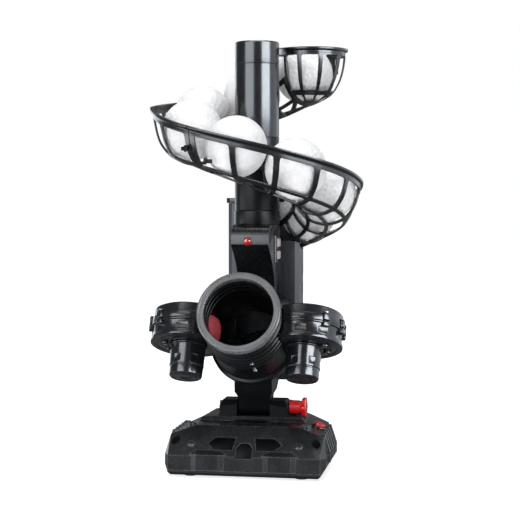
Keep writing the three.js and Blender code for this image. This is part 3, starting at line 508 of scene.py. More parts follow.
def loft(name, rings, matrix=COLUMN):
    """Skins equal rings of points and closes both ends."""
    n = len(rings[0])
    verts = [point for ring in rings for point in ring]
    faces = []
    for i in range(len(rings) - 1):
        for k in range(n):
            m = (k + 1) % n
            faces.append((i * n + k, i * n + m, (i + 1) * n + m, (i + 1) * n + k))
    faces.append(tuple(range(n))[::-1])
    faces.append(tuple(range(len(verts) - n, len(verts))))
    return solid(name, verts, faces, matrix)


def hull(name, points, matrix=COLUMN):
    bm = bmesh.new()
    for point in points:
        bm.verts.new(point)
    result = bmesh.ops.convex_hull(bm, input=bm.verts)
    interior = [g for g in result["geom_interior"] if isinstance(g, bmesh.types.BMVert)]
    bmesh.ops.delete(bm, geom=interior, context="VERTS")
    loose = [v for v in bm.verts if not v.link_faces]
    bmesh.ops.delete(bm, geom=loose, context="VERTS")
    bmesh.ops.dissolve_limit(bm, angle_limit=radians(0.5), verts=bm.verts, edges=bm.edges)
    mesh = bpy.data.meshes.new(name)
    bm.to_mesh(mesh)
    bm.free()
    return add_solid(name, mesh, matrix)


def join(name, objects):
    """Several solids as one piece."""
    bm = bmesh.new()
    for obj in objects:
        bm.from_mesh(obj.data)
    mesh = bpy.data.meshes.new(name)
    bm.to_mesh(mesh)
    bm.free()
    for obj in objects:
        remove(obj)
    return add_object(name, mesh)


def mirror(outline, s):
    return [(s * x, y) for x, y in outline]


def screw(name, profile, segments, matrix, body, material=STEEL, corner=0.25,
          slot=None, crossed=True, nodes=()):
    """Screw head; slot is (half length, half width, floor height)."""
    head = lathe(name, profile, segments, matrix, corner)
    if slot:
        length, width, bottom = slot
        for x, y in ((length, width), (width, length))[:1 + crossed]:
            boolean(head, block("cutter", -x, x, -y, y, bottom, 3, matrix))
    place(head, material, body, nodes)


# ================================================== CAD nodes that are kept
# node, material, bevel width, bevel segments, bevel angle limit
REFINED = [
    ("base_upper_shell", SHELL, 0.9, 3, 12),
    ("base_lower_pan", PAN, 0.6, 2, 20),
    ("battery_door", SHELL, 0.4, 2, 30),
    ("battery_pack", CELLS, 0.4, 2, 30),
    ("clevis_bracket", HINGE, 0.7, 2, 30),
    ("neck_bracket", HINGE, 0.8, 2, 30),
    ("shaft_floor", SATIN, 0.4, 2, 30),
    ("control_board", BOARD, 0.2, 2, 30),
    ("tower_front_shell", TOWER_SHEEN, 0.5, 2, 30),
    ("column_bracket", SATIN, 1.1, 4, 30),
    ("button_panel", SATIN, 0.35, 2, 30),
    ("speed_button_upper", BUTTON, 0.5, 2, 30),
    ("speed_button_lower", BUTTON, 0.5, 2, 30),
    ("feed_wheel", RED, 0.6, 2, 30),
]


def refine(node, material, width, segments, angle):
    """Joins the flat facets of a CAD node and rounds its edges."""
    obj = NODES[node]
    obj.data.materials.clear()
    obj.data.materials.append(material)
    for polygon in obj.data.polygons:
        polygon.use_smooth = True
        polygon.material_index = 0
    weld = obj.modifiers.new("weld", "WELD")
    weld.merge_threshold = 2e-6
    flats = obj.modifiers.new("flats", "DECIMATE")
    flats.decimate_type = "DISSOLVE"
    flats.angle_limit = radians(0.8)
    rounding = obj.modifiers.new("bevel", "BEVEL")
    rounding.width = width * MM
    rounding.segments = segments
    rounding.limit_method = "ANGLE"
    rounding.angle_limit = radians(angle)
    rounding.harden_normals = True
    normals = obj.modifiers.new("normals", "WEIGHTED_NORMAL")
    normals.keep_sharp = True


for row in REFINED:
    refine(*row)


# ==================================================================== base
def rubber_foot(side, end):
    node = f"foot_{end}_{side}"
    lo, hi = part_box(node)
    centre = (lo + hi) / 2
    foot = lathe(f"rubber_foot_{end}_{side}", [(0, 0), (7.6, 0), (9, 1.2), (9, 3.9), (0, 3.9)], 48,
                 shift(centre.x, centre.y, 0) @ Matrix.Scale(MM, 4), corner=0.3)
    place(foot, RUBBER, "base", [node])


def on_nose(x, fraction):
    """Frame on the front slope, a fraction of the way up it."""
    origin = at(x, NOSE_Y + NOSE_RUN * fraction, NOSE_Z + NOSE_RISE * fraction)
    return origin @ Matrix.Rotation(atan2(NOSE_RISE, NOSE_RUN), 4, "X")


def base_screws(side, s):
    """A screw sunk in the nose and one in its boss on the deck."""
    screw(f"nose_screw_{side}", [(0, -1.3), (3.5, -1.3), (3.9, -0.5), (3.3, 0.3), (0, 0.6)], 40,
          on_nose(s * 64, 0.38), "base", SCREW, slot=(2.4, 0.45, -0.4),
          nodes=[f"base_screw_{side}"])
    screw(f"deck_screw_{side}", [(0, 0.1), (2.9, 0.1), (2.9, 0.9), (2.3, 1.6), (0, 1.9)], 32,
          at(s * 69, -60, 56.8), "base", slot=(1.8, 0.35, 1.0), crossed=False)


def corner_pocket(side, s):
    """Six-sided pocket on the front corner, in near-black: painted shade of the recess."""
    outer = [(0, 7.4), (4.6, 3.4), (5.2, -2.4), (1.2, -7.2), (-4.6, -3.6), (-5.0, 2.6)]
    inner = [(0, 6.5), (3.9, 3.0), (4.4, -2.2), (1.1, -6.2), (-3.9, -3.1), (-4.2, 2.3)]
    normal = Vector((s * 0.186, -0.624, 0.759)).normalized()
    across = Vector((0, 0, 1)).cross(normal).normalized()
    axes = Matrix((across, normal.cross(across), normal)).transposed().to_4x4()
    matrix = at(s * 83.3, -80.8, 40.9) @ axes
    pocket = prism(f"corner_pocket_{side}", mirror(outer, s), -1.0, 0.55, matrix)
    boolean(pocket, prism("cutter", mirror(inner, s), 0.15, 2, matrix))
    place(bevel(pocket, 0.2), INLAY_AND_SHADE, "base")


def nose_recess_shade(side, s):
    """Dark sheet in the hexagonal recess: painted shade of the recess."""
    outline = [(30, 0), (21.7, 7.9), (-0.9, 7.9), (1.5, -7.9), (21.7, -7.9)]
    inlay = prism(f"nose_recess_shade_{side}", mirror(outline, s), -2.35, -0.9, on_nose(s * 13, 0.42))
    place(bevel(inlay, 0.35), INLAY_AND_SHADE, "base")


def hood_plate():
    """Dark plate on the hood between the hexagonal recesses and the hinge."""
    outline = [(-20, -13.4), (20, -13.4), (20.5, -3), (16, 4), (-16, 4), (-20.5, -3)]
    plate = hull("hood_plate", [(x, y, z) for z in (0.02, 0.9) for x, y in outline],
                 at(0, -50.5, 60.0))
    place(bevel(plate, 0.3), INLAY_AND_SHADE, "base")


def notch_shade_plug():
    """Dark insert in the charging notch: painted shade over the notch's upper slanted face."""
    points = [(9.1, -93.9, 24.3), (9.1, -88.4, 35), (4.7, -85.0, 40.1),       # back
              (9.1, -96.2, 24.3), (9.1, -91.4, 34.6), (4.7, -88.2, 39.4)]     # front
    plug = hull("notch_shade_plug", [(s * x, y, z) for x, y, z in points for s in (1, -1)])
    place(bevel(plug, 0.5), INLAY_AND_SHADE, "base")


def power_button():
    matrix = at(80, -31, 52.4) @ facing((0.403, 0, 0.915))
    bezel = [(6.6, -1.2), (8.5, -1.2), (8.5, 1.4), (7.9, 2.2), (6.6, 2.2)]
    cap = [(0, -4.5), (4.6, -4.5), (4.6, 1.2), (6.3, 1.9), (6.3, 4.8), (5.4, 5.7), (0, 6)]
    place(lathe("button_bezel", bezel, 64, matrix, corner=0.3),
          GLOSS, "base", ["power_button_bezel"])
    place(lathe("button_cap", cap, 64, matrix, corner=0.6),
          RED, "power_button", ["power_button"])


def hinge_bolt():
    head_z, tip_z, shank_r, head_r = -42, 50, 4, 6.6
    shank = lathe("shank", [(0, head_z), (shank_r, head_z), (shank_r, tip_z), (0, tip_z)], 40,
                  HINGE_AXIS, corner=0.3)
    corners = [radians(60 * k) for k in range(6)]
    hexagon = prism("hexagon", [(head_r * cos(a), head_r * sin(a)) for a in corners],
                    head_z - 2.0, head_z, HINGE_AXIS)
    bevel(hexagon, 0.4)
    place(join("hinge_bolt", [shank, hexagon]), STEEL, "base", ["pivot_bolt"])


# radius between the lobes, lobe height, height along the hinge
KNOB_RINGS = [
    (7.9, 0, 42.2), (8.7, 0, 42.6), (8.8, 0, 43.2), (8.7, 0, 44.6), (8.2, 0, 45.5),
    (8.1, 0, 49), (8.1, 0, 53.4), (7.7, 0, 55), (7.2, 0, 56.6), (8.2, 0.2, 57.0),
    (9.6, 0.8, 57.4), (10.3, 1.5, 57.8), (10.7, 1.6, 58.5), (10.8, 1.6, 60), (10.7, 1.6, 61.6),
    (10.2, 1.4, 62.3), (9.2, 1.0, 62.7), (8.0, 0.3, 62.8)]


def knob_ring(radius, lobe, z, lobes=6, segments=96):
    ring = []
    for k in range(segments):
        a = 2 * pi * k / segments
        r = radius + lobe * (0.5 + 0.5 * cos(lobes * (a - radians(90)))) ** 1.3
        ring.append((r * cos(a), r * sin(a), z))
    return ring


def clamp_knob():
    knob = loft("clamp_knob", [knob_ring(*row) for row in KNOB_RINGS], HINGE_AXIS)
    boolean(knob, cylinder("cutter", 4.3, 40, 50.5, 40, HINGE_AXIS))
    dish = [(0, 61.9), (5.6, 61.9), (5.8, 64), (0, 64)]
    boolean(knob, lathe("cutter", dish, 48, HINGE_AXIS, corner=0))
    place(knob, RED, "tilt_knob", ["tilt_knob"])


for side in ("left", "right"):
    for end in ("front", "rear"):
        rubber_foot(side, end)
for side, s in SIDES:
    base_screws(side, s)
    corner_pocket(side, s)
    nose_recess_shade(side, s)
hood_plate()
notch_shade_plug()
power_button()
hinge_bolt()
clamp_knob()

# ================================================================== barrel
# (radius, height along the barrel), from the muzzle back to the flange
BARREL_RIBS = [
    (43.2, 56), (43.4, 51.6), (45.6, 50.8), (45.6, 48.6), (43.9, 47.8),
    (44.3, 42.0), (46.5, 41.2), (46.5, 39.0), (44.8, 38.2),
    (45.3, 32.4), (47.5, 31.6), (47.5, 29.4), (45.8, 28.6),
    (46.2, 22.6), (48.0, 21.8), (48.0, 19.6), (46.6, 18.8),
    (46.8, 13.6), (48.1, 12.9), (48.1, 11.1), (46.9, 10.4),
    (47.1, 4.6), (48.2, 4.0), (48.2, 2.4), (47.2, 1.8),
    (47.5, -40.6), (FLANGE_R, -41), (FLANGE_R, -45)]
MUZZLE = [
    (BORE_R, 56.3), (BORE_R, 63.2), (BORE_R + 0.8, 64.1), (44.6, 64.2), (45.0, 63.8),
    (45.5, 63.8), (45.9, 64.2), (47.4, 64.1), (48.5, 63.0), (48.5, 56.3)]


def barrel_body():
    bore = [(BORE_R, -45)]
    for z in (30, 40, 50):                     # grooves inside the muzzle end
        bore += [(BORE_R, z), (40.8, z + 0.4), (40.8, z + 1.4), (BORE_R, z + 1.8)]
    bore.append((BORE_R, 56))
    barrel = lathe("barrel_body", bore + BARREL_RIBS, 144, LAUNCH, corner=0.4, steps=2)
    for s in (1, -1):
        boolean(barrel, cylinder("cutter", WHEEL_CASE_R, -WHEEL_CASE_HALF, WHEEL_CASE_HALF, 96,
                                 wheel_frame(s)))
    place(barrel, BARREL, "head", ["barrel_tube"], 28)


def barrel_screws():
    """Two screws under the barrel."""
    profile = [(0, 46.6), (2.6, 46.6), (2.6, 48.4), (2.0, 49), (0, 49.3)]
    for k, z in enumerate((15, -9)):
        screw(f"barrel_screw_{k}", profile, 28,
              LAUNCH @ shift(0, 0, z) @ turn(14, "Z") @ turn(90, "X"), "head", corner=0.3)


barrel_body()
place(lathe("muzzle_face", MUZZLE, 160, LAUNCH, corner=0.4, steps=4),
      GREY, "head", ["muzzle_ring"])
barrel_screws()

# ============================================================== wheel cases
# (radius, height along the axle)
CASE_TOP = [
    (6, 19.5), (6, WHEEL_CASE_HALF), (WHEEL_CASE_R, WHEEL_CASE_HALF), (WHEEL_CASE_R, 1.2),
    (45.4, 1.2), (45.4, 8), (44, 8.6), (44, 18.3), (42.8, 19.5), (36, 19.5), (35.2, 18.8),
    (34.2, 18.8), (33.4, 19.5), (14, 19.5), (13.2, 18.6), (11.8, 18.6), (11, 19.5)]
CASE_BOTTOM = [
    (8, -19.5), (8, -WHEEL_CASE_HALF), (WHEEL_CASE_R, -WHEEL_CASE_HALF), (WHEEL_CASE_R, 0.9),
    (45.4, 0.9), (45.4, -1.4), (43.4, -2), (43.4, -15.2), (44.8, -15.8), (44.8, -19.5),
    (39, -19.5), (38.4, -18.8), (37, -18.8), (36.4, -19.5)]
MOTOR_CAN = [
    (0, -56.4), (8, -56.4), (16.2, -56), (17.2, -54), (17.4, -19.8), (22.4, -19.8),
    (22.4, -21.9), (20.6, -22.6), (20.2, -46.2), (19.4, -47.0), (19.4, -48.0), (19.6, -48.6),
    (19.2, -57.4), (18.2, -58.9), (15.0, -59.2), (14.5, -58.6), (13.5, -58.6), (13.0, -59.2),
    (5.6, -59.2), (5.2, -58.6), (0, -58.6)]
MOTOR = [(0, -53), (14, -53), (14.6, -50), (14.6, -23.5), (6, -23.5), (6, -21.8), (0, -21.8)]
HUB = [(0, -21), (2.6, -21), (2.6, -13.4), (8, -13.4), (8, -11), (20, -11), (20, 11), (8, 11),
       (8, 13.4), (3, 13.4), (3, 18.4), (0, 18.4)]
TYRE = [(20.4, -12), (34.2, -12), (36.2, -7), (36.9, 0), (36.2, 7), (34.2, 12), (20.4, 12)]
CASE_BOSS = [(0, -19.8), (4.4, -19.8), (4.2, -22.6), (2.6, -22.8), (2.4, -21.6), (0, -21.6)]
LUG_SCREW = [(0, 10.6), (2.4, 10.6), (2.4, 11.8), (1.8, 12.3), (0, 12.3)]


def wheel_seal(side, axle):
    """Dark strips that close the slit between the wheel case and the barrel."""
    seal = lathe(f"wheel_seal_{side}", [(41.3, -14.6), (44.9, -14.6), (44.9, 14.6), (41.3, 14.6)],
                 112, axle, corner=0)
    sleeve = [(45.4, -38), (49.2, -38), (49.2, 50), (45.4, 50)]
    boolean(seal, lathe("sleeve", sleeve, 128, LAUNCH, corner=0), "INTERSECT")
    place(seal, HINGE, "head")


def wheel_case(side, half, profile, axle):
    """One half of a wheel case, cut away where the barrel passes."""
    case = lathe(f"housing_{half}_{side}", profile, 112, axle, corner=0.4)
    envelope = [(0, -45.2), (51.6, -45.2), (51.6, -40.6), (48.6, -40.2), (48.6, 56.2), (0, 56.2)]
    boolean(case, lathe("envelope", envelope, 128, LAUNCH, corner=0))
    if half == "bottom":                       # pockets round the wall
        for k in range(10):
            boolean(case, bevel(block("cutter", 42.9, 48, -7.0, 7.0, -13.6, -5.0,
                                      axle @ turn(36 * k + 18, "Z")), 0.7, 3))
    node = {"top": "upper", "bottom": "lower"}[half]
    place(case, GLOSS, "head", [f"wheel_housing_{node}_{side}"], 30)


def clamp_lugs(side, s):
    """Pairs of lugs round the case flange, each with its screw."""
    for k, degrees in enumerate((60, 120, -60, 15, -15, 150)):
        outward = LAUNCH @ shift(s * WHEEL_X, 0, 0) @ turn(90 * s + s * degrees * 0.85, "Y")
        for half, low, high in (("top", 1.4, 11), ("bottom", -6, 0.7)):
            lug = block(f"lug_{half}_{side}_{k}", -4.2, 4.2, low, high, 42.5, 48.0, outward)
            place(bevel(lug, 1.0, 3), GLOSS, "head")
        screw(f"lug_screw_{side}_{k}", LUG_SCREW, 24, outward @ shift(0, 0, 45.4) @ ALONG_Y,
              "head", corner=0.3)


def motor_cover(side, axle):
    cover = lathe(f"motor_can_{side}", MOTOR_CAN, 96, axle, corner=0.6)
    for k in range(6):                         # recessed panels round the upper half
        boolean(cover, bevel(block("cutter", 19.65, 24, -4.6, 4.6, -44.4, -35.0,
                                   axle @ turn(60 * k + 8, "Z")), 0.9))
    place(cover, GLOSS, "head", [f"motor_cover_{side}"], 30)


def case_bosses(side, axle):
    """Screw bosses under the case, left out where the barrel is."""
    for k, degrees in enumerate((25, 155, 205, 335)):
        matrix = axle @ turn(degrees, "Z") @ shift(28.5, 0, 0)
        if (matrix.translation - LAUNCH.translation).length / MM < FLANGE_R:
            continue
        boss = lathe(f"housing_boss_{side}_{k}", CASE_BOSS, 32, matrix, corner=0.4)
        place(boss, GLOSS, "head")


def wheel(side, axle):
    """Motor, hub and foam tyre."""
    place(lathe(f"motor_body_{side}", MOTOR, 48, axle, corner=0.3),
          STEEL, "head", [f"wheel_motor_{side}"])
    place(lathe(f"wheel_hub_{side}", HUB, 72, axle, corner=0.3),
          SATIN, f"flywheel_{side}", [f"flywheel_hub_{side}"])
    place(lathe(f"wheel_foam_{side}", TYRE, 120, axle, corner=1.2, steps=4),
          FOAM, f"flywheel_{side}", [f"flywheel_tyre_{side}"])


for side, s in SIDES:
    axle = wheel_frame(s)
    wheel_seal(side, axle)
    wheel_case(side, "top", CASE_TOP, axle)
    wheel_case(side, "bottom", CASE_BOTTOM, axle)
    clamp_lugs(side, s)
    motor_cover(side, axle)
    case_bosses(side, axle)
    wheel(side, axle)


# =============================================================== ball path
RIM_Z, RIM_DEG = 436, 190      # rim height at one angle; angles run from +X towards +Y
FALL, BACK_FALL = 0.525, 0.27  # mm per degree: the path's, and the rim's behind the column
TROUGH_DEPTH = 27


def smooth(t):
    t = min(1.0, max(0.0, t))
    return t * t * (3 - 2 * t)


def rim_line(degrees):
    return RIM_Z - FALL * (degrees - RIM_DEG)


def rim_z(degrees):
    """Rim height; the wall is lower behind the column than at the loading bowl."""
    drop = (FALL - BACK_FALL) * max(0, RIM_DEG - degrees)
    return rim_line(degrees) - drop * smooth((degrees - 80) / 40)


def path_z(degrees):
    """Height of the ball path's centre line."""
    return rim_line(degrees) - TROUGH_DEPTH + 15 * smooth((degrees - 152) / 100)


def depth(degrees):
    return rim_z(degrees) - path_z(degrees)


def path_bar(name, radius, stations, segments=48):
    """Round bar along the ball path."""
    rings = []
    for degrees in stations:
        a = radians(degrees)
        ring = []
        for k in range(segments):
            b = 2 * pi * k / segments
            reach = PATH_R + radius * cos(b)
            ring.append((reach * cos(a), reach * sin(a), path_z(degrees) + radius * sin(b)))
        rings.append(ring)
    return loft(name, rings)


# ======================================================== breech and tower
def breech_body():
    """Sphere with the chute and the barrel flange joined on, then hollowed."""
    breech = sphere("breech_body", 47.4, BREECH)
    boolean(breech, cylinder("chute", CHUTE_R, 0, 76, 96, CHUTE), "UNION")
    boolean(breech, block("cutter", -100, 100, -100, 100, 0, 200,
                          LAUNCH @ shift(0, 0, FLANGE_Z)))
    flange = [(0, -49.6), (FLANGE_R, -49.6), (FLANGE_R, FLANGE_Z), (0, FLANGE_Z)]
    boolean(breech, lathe("flange", flange, 128, LAUNCH, corner=0), "UNION")
    boolean(breech, block("cutter", -100, 100, 46.7, 300, 0, 400))
    boolean(breech, sphere("cutter", BORE_R, BREECH, 80, 40))
    boolean(breech, cylinder("cutter", BORE_R, -60, -30, 96, LAUNCH))
    boolean(breech, cylinder("cutter", 39.6, 0, 120, 96, CHUTE))
    place(breech, GLOSS, "head", ["breech_housing"], 26)


def tower_outline(inset, steps=48):
    """D-shaped outline: chamfered front corners and a round back."""
    w = TOWER_R - inset
    front = TOWER_FRONT + inset
    points = [(-w, front + TOWER_CHAMFER), (-w + TOWER_CHAMFER, front),
              (w - TOWER_CHAMFER, front), (w, front + TOWER_CHAMFER)]
    angles = [pi * k / steps for k in range(steps + 1)]
    return points + [(w * cos(a), TOWER_Y + w * sin(a)) for a in angles]


def right_of_plane(degrees):
    """Block to the right of the upright plane through the column axis at an angle."""
    a = radians(degrees)
    return block("cutter", -300, 300, -300, 300, 0, 300, COLUMN @ facing((sin(a), -cos(a), 0)))


def back_screw_frames():
    """(x, z, frame) of the six screws on the round back."""
    for x in (-22, 22):
        for z in (135, 204, 268):
            y = sqrt(TOWER_R ** 2 - x ** 2)
            yield x, z, at(x, TOWER_Y + y, z) @ facing((x, y, 0))


def tower_back():
    rear = prism("tower_back", tower_outline(0), 98, 319)
    boolean(rear, prism("cutter", tower_outline(3), 106, 330))
    boolean(rear, block("cutter", -200, 200, 0, 70.15, 0, 400))
    # room for the ramp
    opening = right_of_plane(75.5)
    boolean(opening, block("limit", -250, 250, -10, 250, 276, 450), "INTERSECT")
    boolean(rear, opening)
    boolean(rear, path_bar("cutter", 43.2, range(392, 437, 2)))
    # sloped lower corners and grip grooves
    for s in (1, -1):
        corner = mirror([(36, 97), (46, 97), (46, 106)], s)[::s]
        boolean(rear, prism("cutter", corner, -200, 0, COLUMN @ turn(90, "X")))
        x0, x1 = sorted((s * 40, s * 50))
        for z in range(132, 229, 24):
            boolean(rear, block("cutter", x0, x1, 77, 81, z, z + 15))
    # seams round the back
    for z in (118, 121.5, 286, 289.5):
        ring = prism("cutter", tower_outline(-4), z, z + 1.3)
        boolean(ring, prism("core", tower_outline(0.9), z - 1, z + 3))
        boolean(ring, block("limit", -80, 80, 74, 200, z - 1, z + 3), "INTERSECT")
        boolean(rear, ring)
    for _, _, matrix in back_screw_frames():
        boolean(rear, cylinder("cutter", 4.2, -1.6, 6, 40, matrix))
    bevel(rear, 0.4, 2, 40)
    place(rear, TOWER_SHEEN, "head", ["tower_rear_shell"], 30)


def back_screws():
    profile = [(0, -1.4), (3.0, -1.4), (3.2, -0.9), (2.6, -0.3), (0, -0.1)]
    for x, z, matrix in back_screw_frames():
        screw(f"back_screw_{'l' if x < 0 else 'r'}_{z}", profile, 32, matrix, "head", SCREW,
              slot=(2, 0.35, -0.7))


def tower_rim():
    rim = prism("tower_rim", tower_outline(-2), 319.3, 325.5)
    boolean(rim, prism("cutter", tower_outline(3.2), 310, 340))
    boolean(rim, right_of_plane(76.5))
    bevel(rim, 1.0, 3, 40)
    place(rim, SATIN, "head", ["tower_hat"], 30)


def feed_gearmotor():
    matrix = at(0, 32, 237) @ ALONG_X
    case = lathe("case", [(0, 7.2), (12, 7.2), (12, 16.4), (0, 16.4)], 48, matrix, corner=0.6)
    shaft = lathe("shaft", [(0, -14), (3, -14), (3, 7.5), (0, 7.5)], 24, matrix, corner=0.2)
    place(join("feed_gearmotor", [case, shaft]), SCREW, "head", ["feed_motor"])


def led_dome():
    profile = [(0, 0), (5.2, 0), (5.2, 1), (4.6, 2.6), (3.0, 4.3), (0, 5)]
    place(lathe("led_dome", profile, 48, at(-2.5, -52.8, 275) @ turn(90, "X"), corner=0.8),
          LENS, "head", ["led_lens"])


breech_body()
tower_back()
back_screws()
tower_rim()
feed_gearmotor()
led_dome()

# ================================================================== column
TUBE_R, TUBE_BORE = 26.8, 23.2
SPIGOT_R, SPIGOT_BORE, SPIGOT = 22.9, 20, 7    # spigot of each length, and how far it stands up
JOINTS = (311, 399, 487)
JOINT_GAP = 0.3


def collar():
    top = JOINTS[0]
    profile = [(SPIGOT_BORE, 294.3), (27.6, 294.3), (27.6, 310.2), (26.9, top), (SPIGOT_R, top),
               (SPIGOT_R, top + SPIGOT), (SPIGOT_BORE, top + SPIGOT)]
    place(lathe("collar", profile, 128, corner=0.4),
          COLUMN_LOW_SHADED, "head", ["column_collar"])


def tube(half, joint, top, material):
    bottom = joint + JOINT_GAP
    profile = [(TUBE_BORE, bottom), (TUBE_R, bottom), (TUBE_R, top), (SPIGOT_R, top),
               (SPIGOT_R, top + SPIGOT), (SPIGOT_BORE, top + SPIGOT), (SPIGOT_BORE, top - 8),
               (TUBE_BORE, top - 12)]
    place(lathe(f"{half}_tube", profile, 128, corner=0.45),
          material, "head", [f"column_tube_{half}"])


def end_cap():
    bottom, top = JOINTS[2] + JOINT_GAP, 514
    profile = [(0, top - 3), (TUBE_BORE, top - 3), (TUBE_BORE, bottom), (TUBE_R, bottom),
               (TUBE_R, top - 1.4), (TUBE_R - 1.4, top), (0, top)]
    place(lathe("end_cap", profile, 128), COLUMN_BLACK, "head", ["column_cap"])


# The collar and lower tube take the darker column material, painted shade from the ramp above.
collar()
tube("lower", JOINTS[0], JOINTS[1], COLUMN_LOW_SHADED)
tube("upper", JOINTS[1], JOINTS[2], COLUMN_BLACK)
end_cap()

# ==================================================================== ramp
TROUGH_IN, TROUGH_OUT = 38.9, 41.6             # section radii
RAMP_JOINTS = (49, 241, 433)                   # degrees
RAMP_GAP = 0.15                                # degrees, each side of a joint
# Rows of the section: ("arc", degrees) round the bottom, or ("wall", drop below the rim, lip)
RAMP_ROWS = [("arc", a) for a in (190, 200, 217, 234, 241, 254, 267, 274, 287, 301, 308, 332)]
RAMP_ROWS += [("wall", 10.5, 0), ("wall", 4.6, 0), ("wall", 3.2, 3.0), ("wall", 0.0, 3.2)]
RAMP_WINDOWS = {1, 2, 4, 5, 7, 8, 10, 11}      # rows left open between the ribs
BOWL_ROWS = [("arc", a) for a in (277, 288, 300, 312, 322, 343)]
BOWL_ROWS += [("wall", 20, 0), ("wall", 9.5, 0), ("wall", 4.2, 0), ("wall", 3, 3.4),
              ("wall", 0, 3.4)]
BOWL_WINDOWS = {1, 2, 4, 5, 6}
BOWL_R = 44.4                                  # outer radius at the closed end


def section(row, rim):
    """Inner and outer (out, up) points of a row; rim is the rim's height over the path."""
    if row[0] == "arc":
        c, s = cos(radians(row[1])), sin(radians(row[1]))
        return (TROUGH_IN * c, TROUGH_IN * s), (TROUGH_OUT * c, TROUGH_OUT * s)
    _, drop, lip = row
    v = rim - drop
    u = TROUGH_IN + 1.2 * v / TROUGH_DEPTH     # the wall leans outwards
    return (u, v), (u + TROUGH_OUT - TROUGH_IN + lip, v)


def rib_stations(starts, rib, fractions):
    """Stations at both sides of each rib and at fractions of the bays; indices of the ribs."""
    stations, ribs = [], set()
    for k, start in enumerate(starts):
        ribs.add(len(stations))
        stations += [start, start + rib]
        if k + 1 < len(starts):
            bay = starts[k + 1] - start - rib
            stations += [start + rib + bay * f for f in fractions]
    return stations, ribs


def lattice(nodes, ribs, windows):
    """Smoothed shell over nodes[station][row] = (inner, outer), open at windows between ribs."""
    stations, rows = len(nodes), len(nodes[0])
    verts = [point for column in nodes for pair in column for point in pair]

    def inner(i, j):
        return (i * rows + j) * 2

    def outer(i, j):
        return inner(i, j) + 1

    def kept(i, j):
        inside = 0 <= i < stations - 1 and 0 <= j < rows - 1
        return inside and (i in ribs or j not in windows)

    faces = []
    for i in range(stations - 1):
        for j in range(rows - 1):
            if not kept(i, j):
                continue
            c = [(i, j), (i + 1, j), (i + 1, j + 1), (i, j + 1)]
            faces.append([outer(*p) for p in c])
            faces.append([inner(*p) for p in c][::-1])
            neighbours = ((i, j - 1), (i + 1, j), (i, j + 1), (i - 1, j))
            for a, neighbour in enumerate(neighbours):
                if not kept(*neighbour):
                    p, q = c[a], c[(a + 1) % 4]
                    faces.append([outer(*q), outer(*p), inner(*p), inner(*q)])
    used = sorted({k for face in faces for k in face})
    index = {k: n for n, k in enumerate(used)}
    shell = solid("shell", [verts[k] for k in used], [[index[k] for k in f] for f in faces])
    return subdivide(shell)


def subdivide(obj):
    """Subdivision surface with creased corners."""
    bm = bmesh.new()
    bm.from_mesh(obj.data)
    layers = bm.edges.layers.float
    crease = layers.get("crease_edge") or layers.new("crease_edge")
    for edge in bm.edges:
        if len(edge.link_faces) == 2 and edge.calc_face_angle(0) > radians(50):
            edge[crease] = 0.35
    bm.to_mesh(obj.data)
    bm.free()
    modifier = obj.modifiers.new("subdivision", "SUBSURF")
    modifier.levels = modifier.render_levels = 2
    modifier.use_limit_surface = False
    return apply_modifiers(obj)


def trough(start, end, rib=3.4, bays=8):
    """Slatted trough between two angles."""
    pitch = (end - start - rib) / bays
    stations, ribs = rib_stations([start + k * pitch for k in range(bays + 1)], rib,
                                  (0.2, 0.5, 0.8))
    nodes = []
    for degrees in stations:
        c, s, z = cos(radians(degrees)), sin(radians(degrees)), path_z(degrees)
        nodes.append([tuple(((PATH_R + u) * c, (PATH_R + u) * s, z + v)
                            for u, v in section(row, depth(degrees))) for row in RAMP_ROWS])
    return lattice(nodes, ribs, RAMP_WINDOWS)


def arm(degrees, bottom, top, reach=44.4, half_width=5):
    """Bar from the column out to the trough."""
    bar = block("arm", 27.2, reach, -half_width, half_width, bottom, top,
                COLUMN @ turn(degrees, "Z"))
    return bevel(bar, 1.2, 3)


def ramp_length(half, start, end, arms):
    parts = [trough(start + RAMP_GAP, end - RAMP_GAP)]
    parts += [arm(degrees, path_z(degrees) - 17, path_z(degrees) - 9) for degrees in arms]
    place(join(f"ramp_{half}", parts), RAMP, "head",
          [f"ramp_segment_{half}"], 40)


def clip(name, degrees, direction, height, inner=39.6, outer=43.2):
    """Clip tab with a head; direction is where its tongue points, by angle."""
    half_width, half_height = 1.9, 2.3
    matrix = COLUMN @ turn(degrees, "Z") @ shift(PATH_R, 0, path_z(degrees) + height)
    y0, y1 = sorted((-direction * half_width, direction * 7.5))
    tongue = block("tongue", inner, outer, y0, y1, -half_height, half_height, matrix)
    head = block("head", outer - 0.2, outer + 1.1, -half_width, half_width,
                 -half_height - 1.6, half_height + 1.6, matrix)
    place(bevel(join(name, [tongue, head]), 0.5), HINGE, "head")


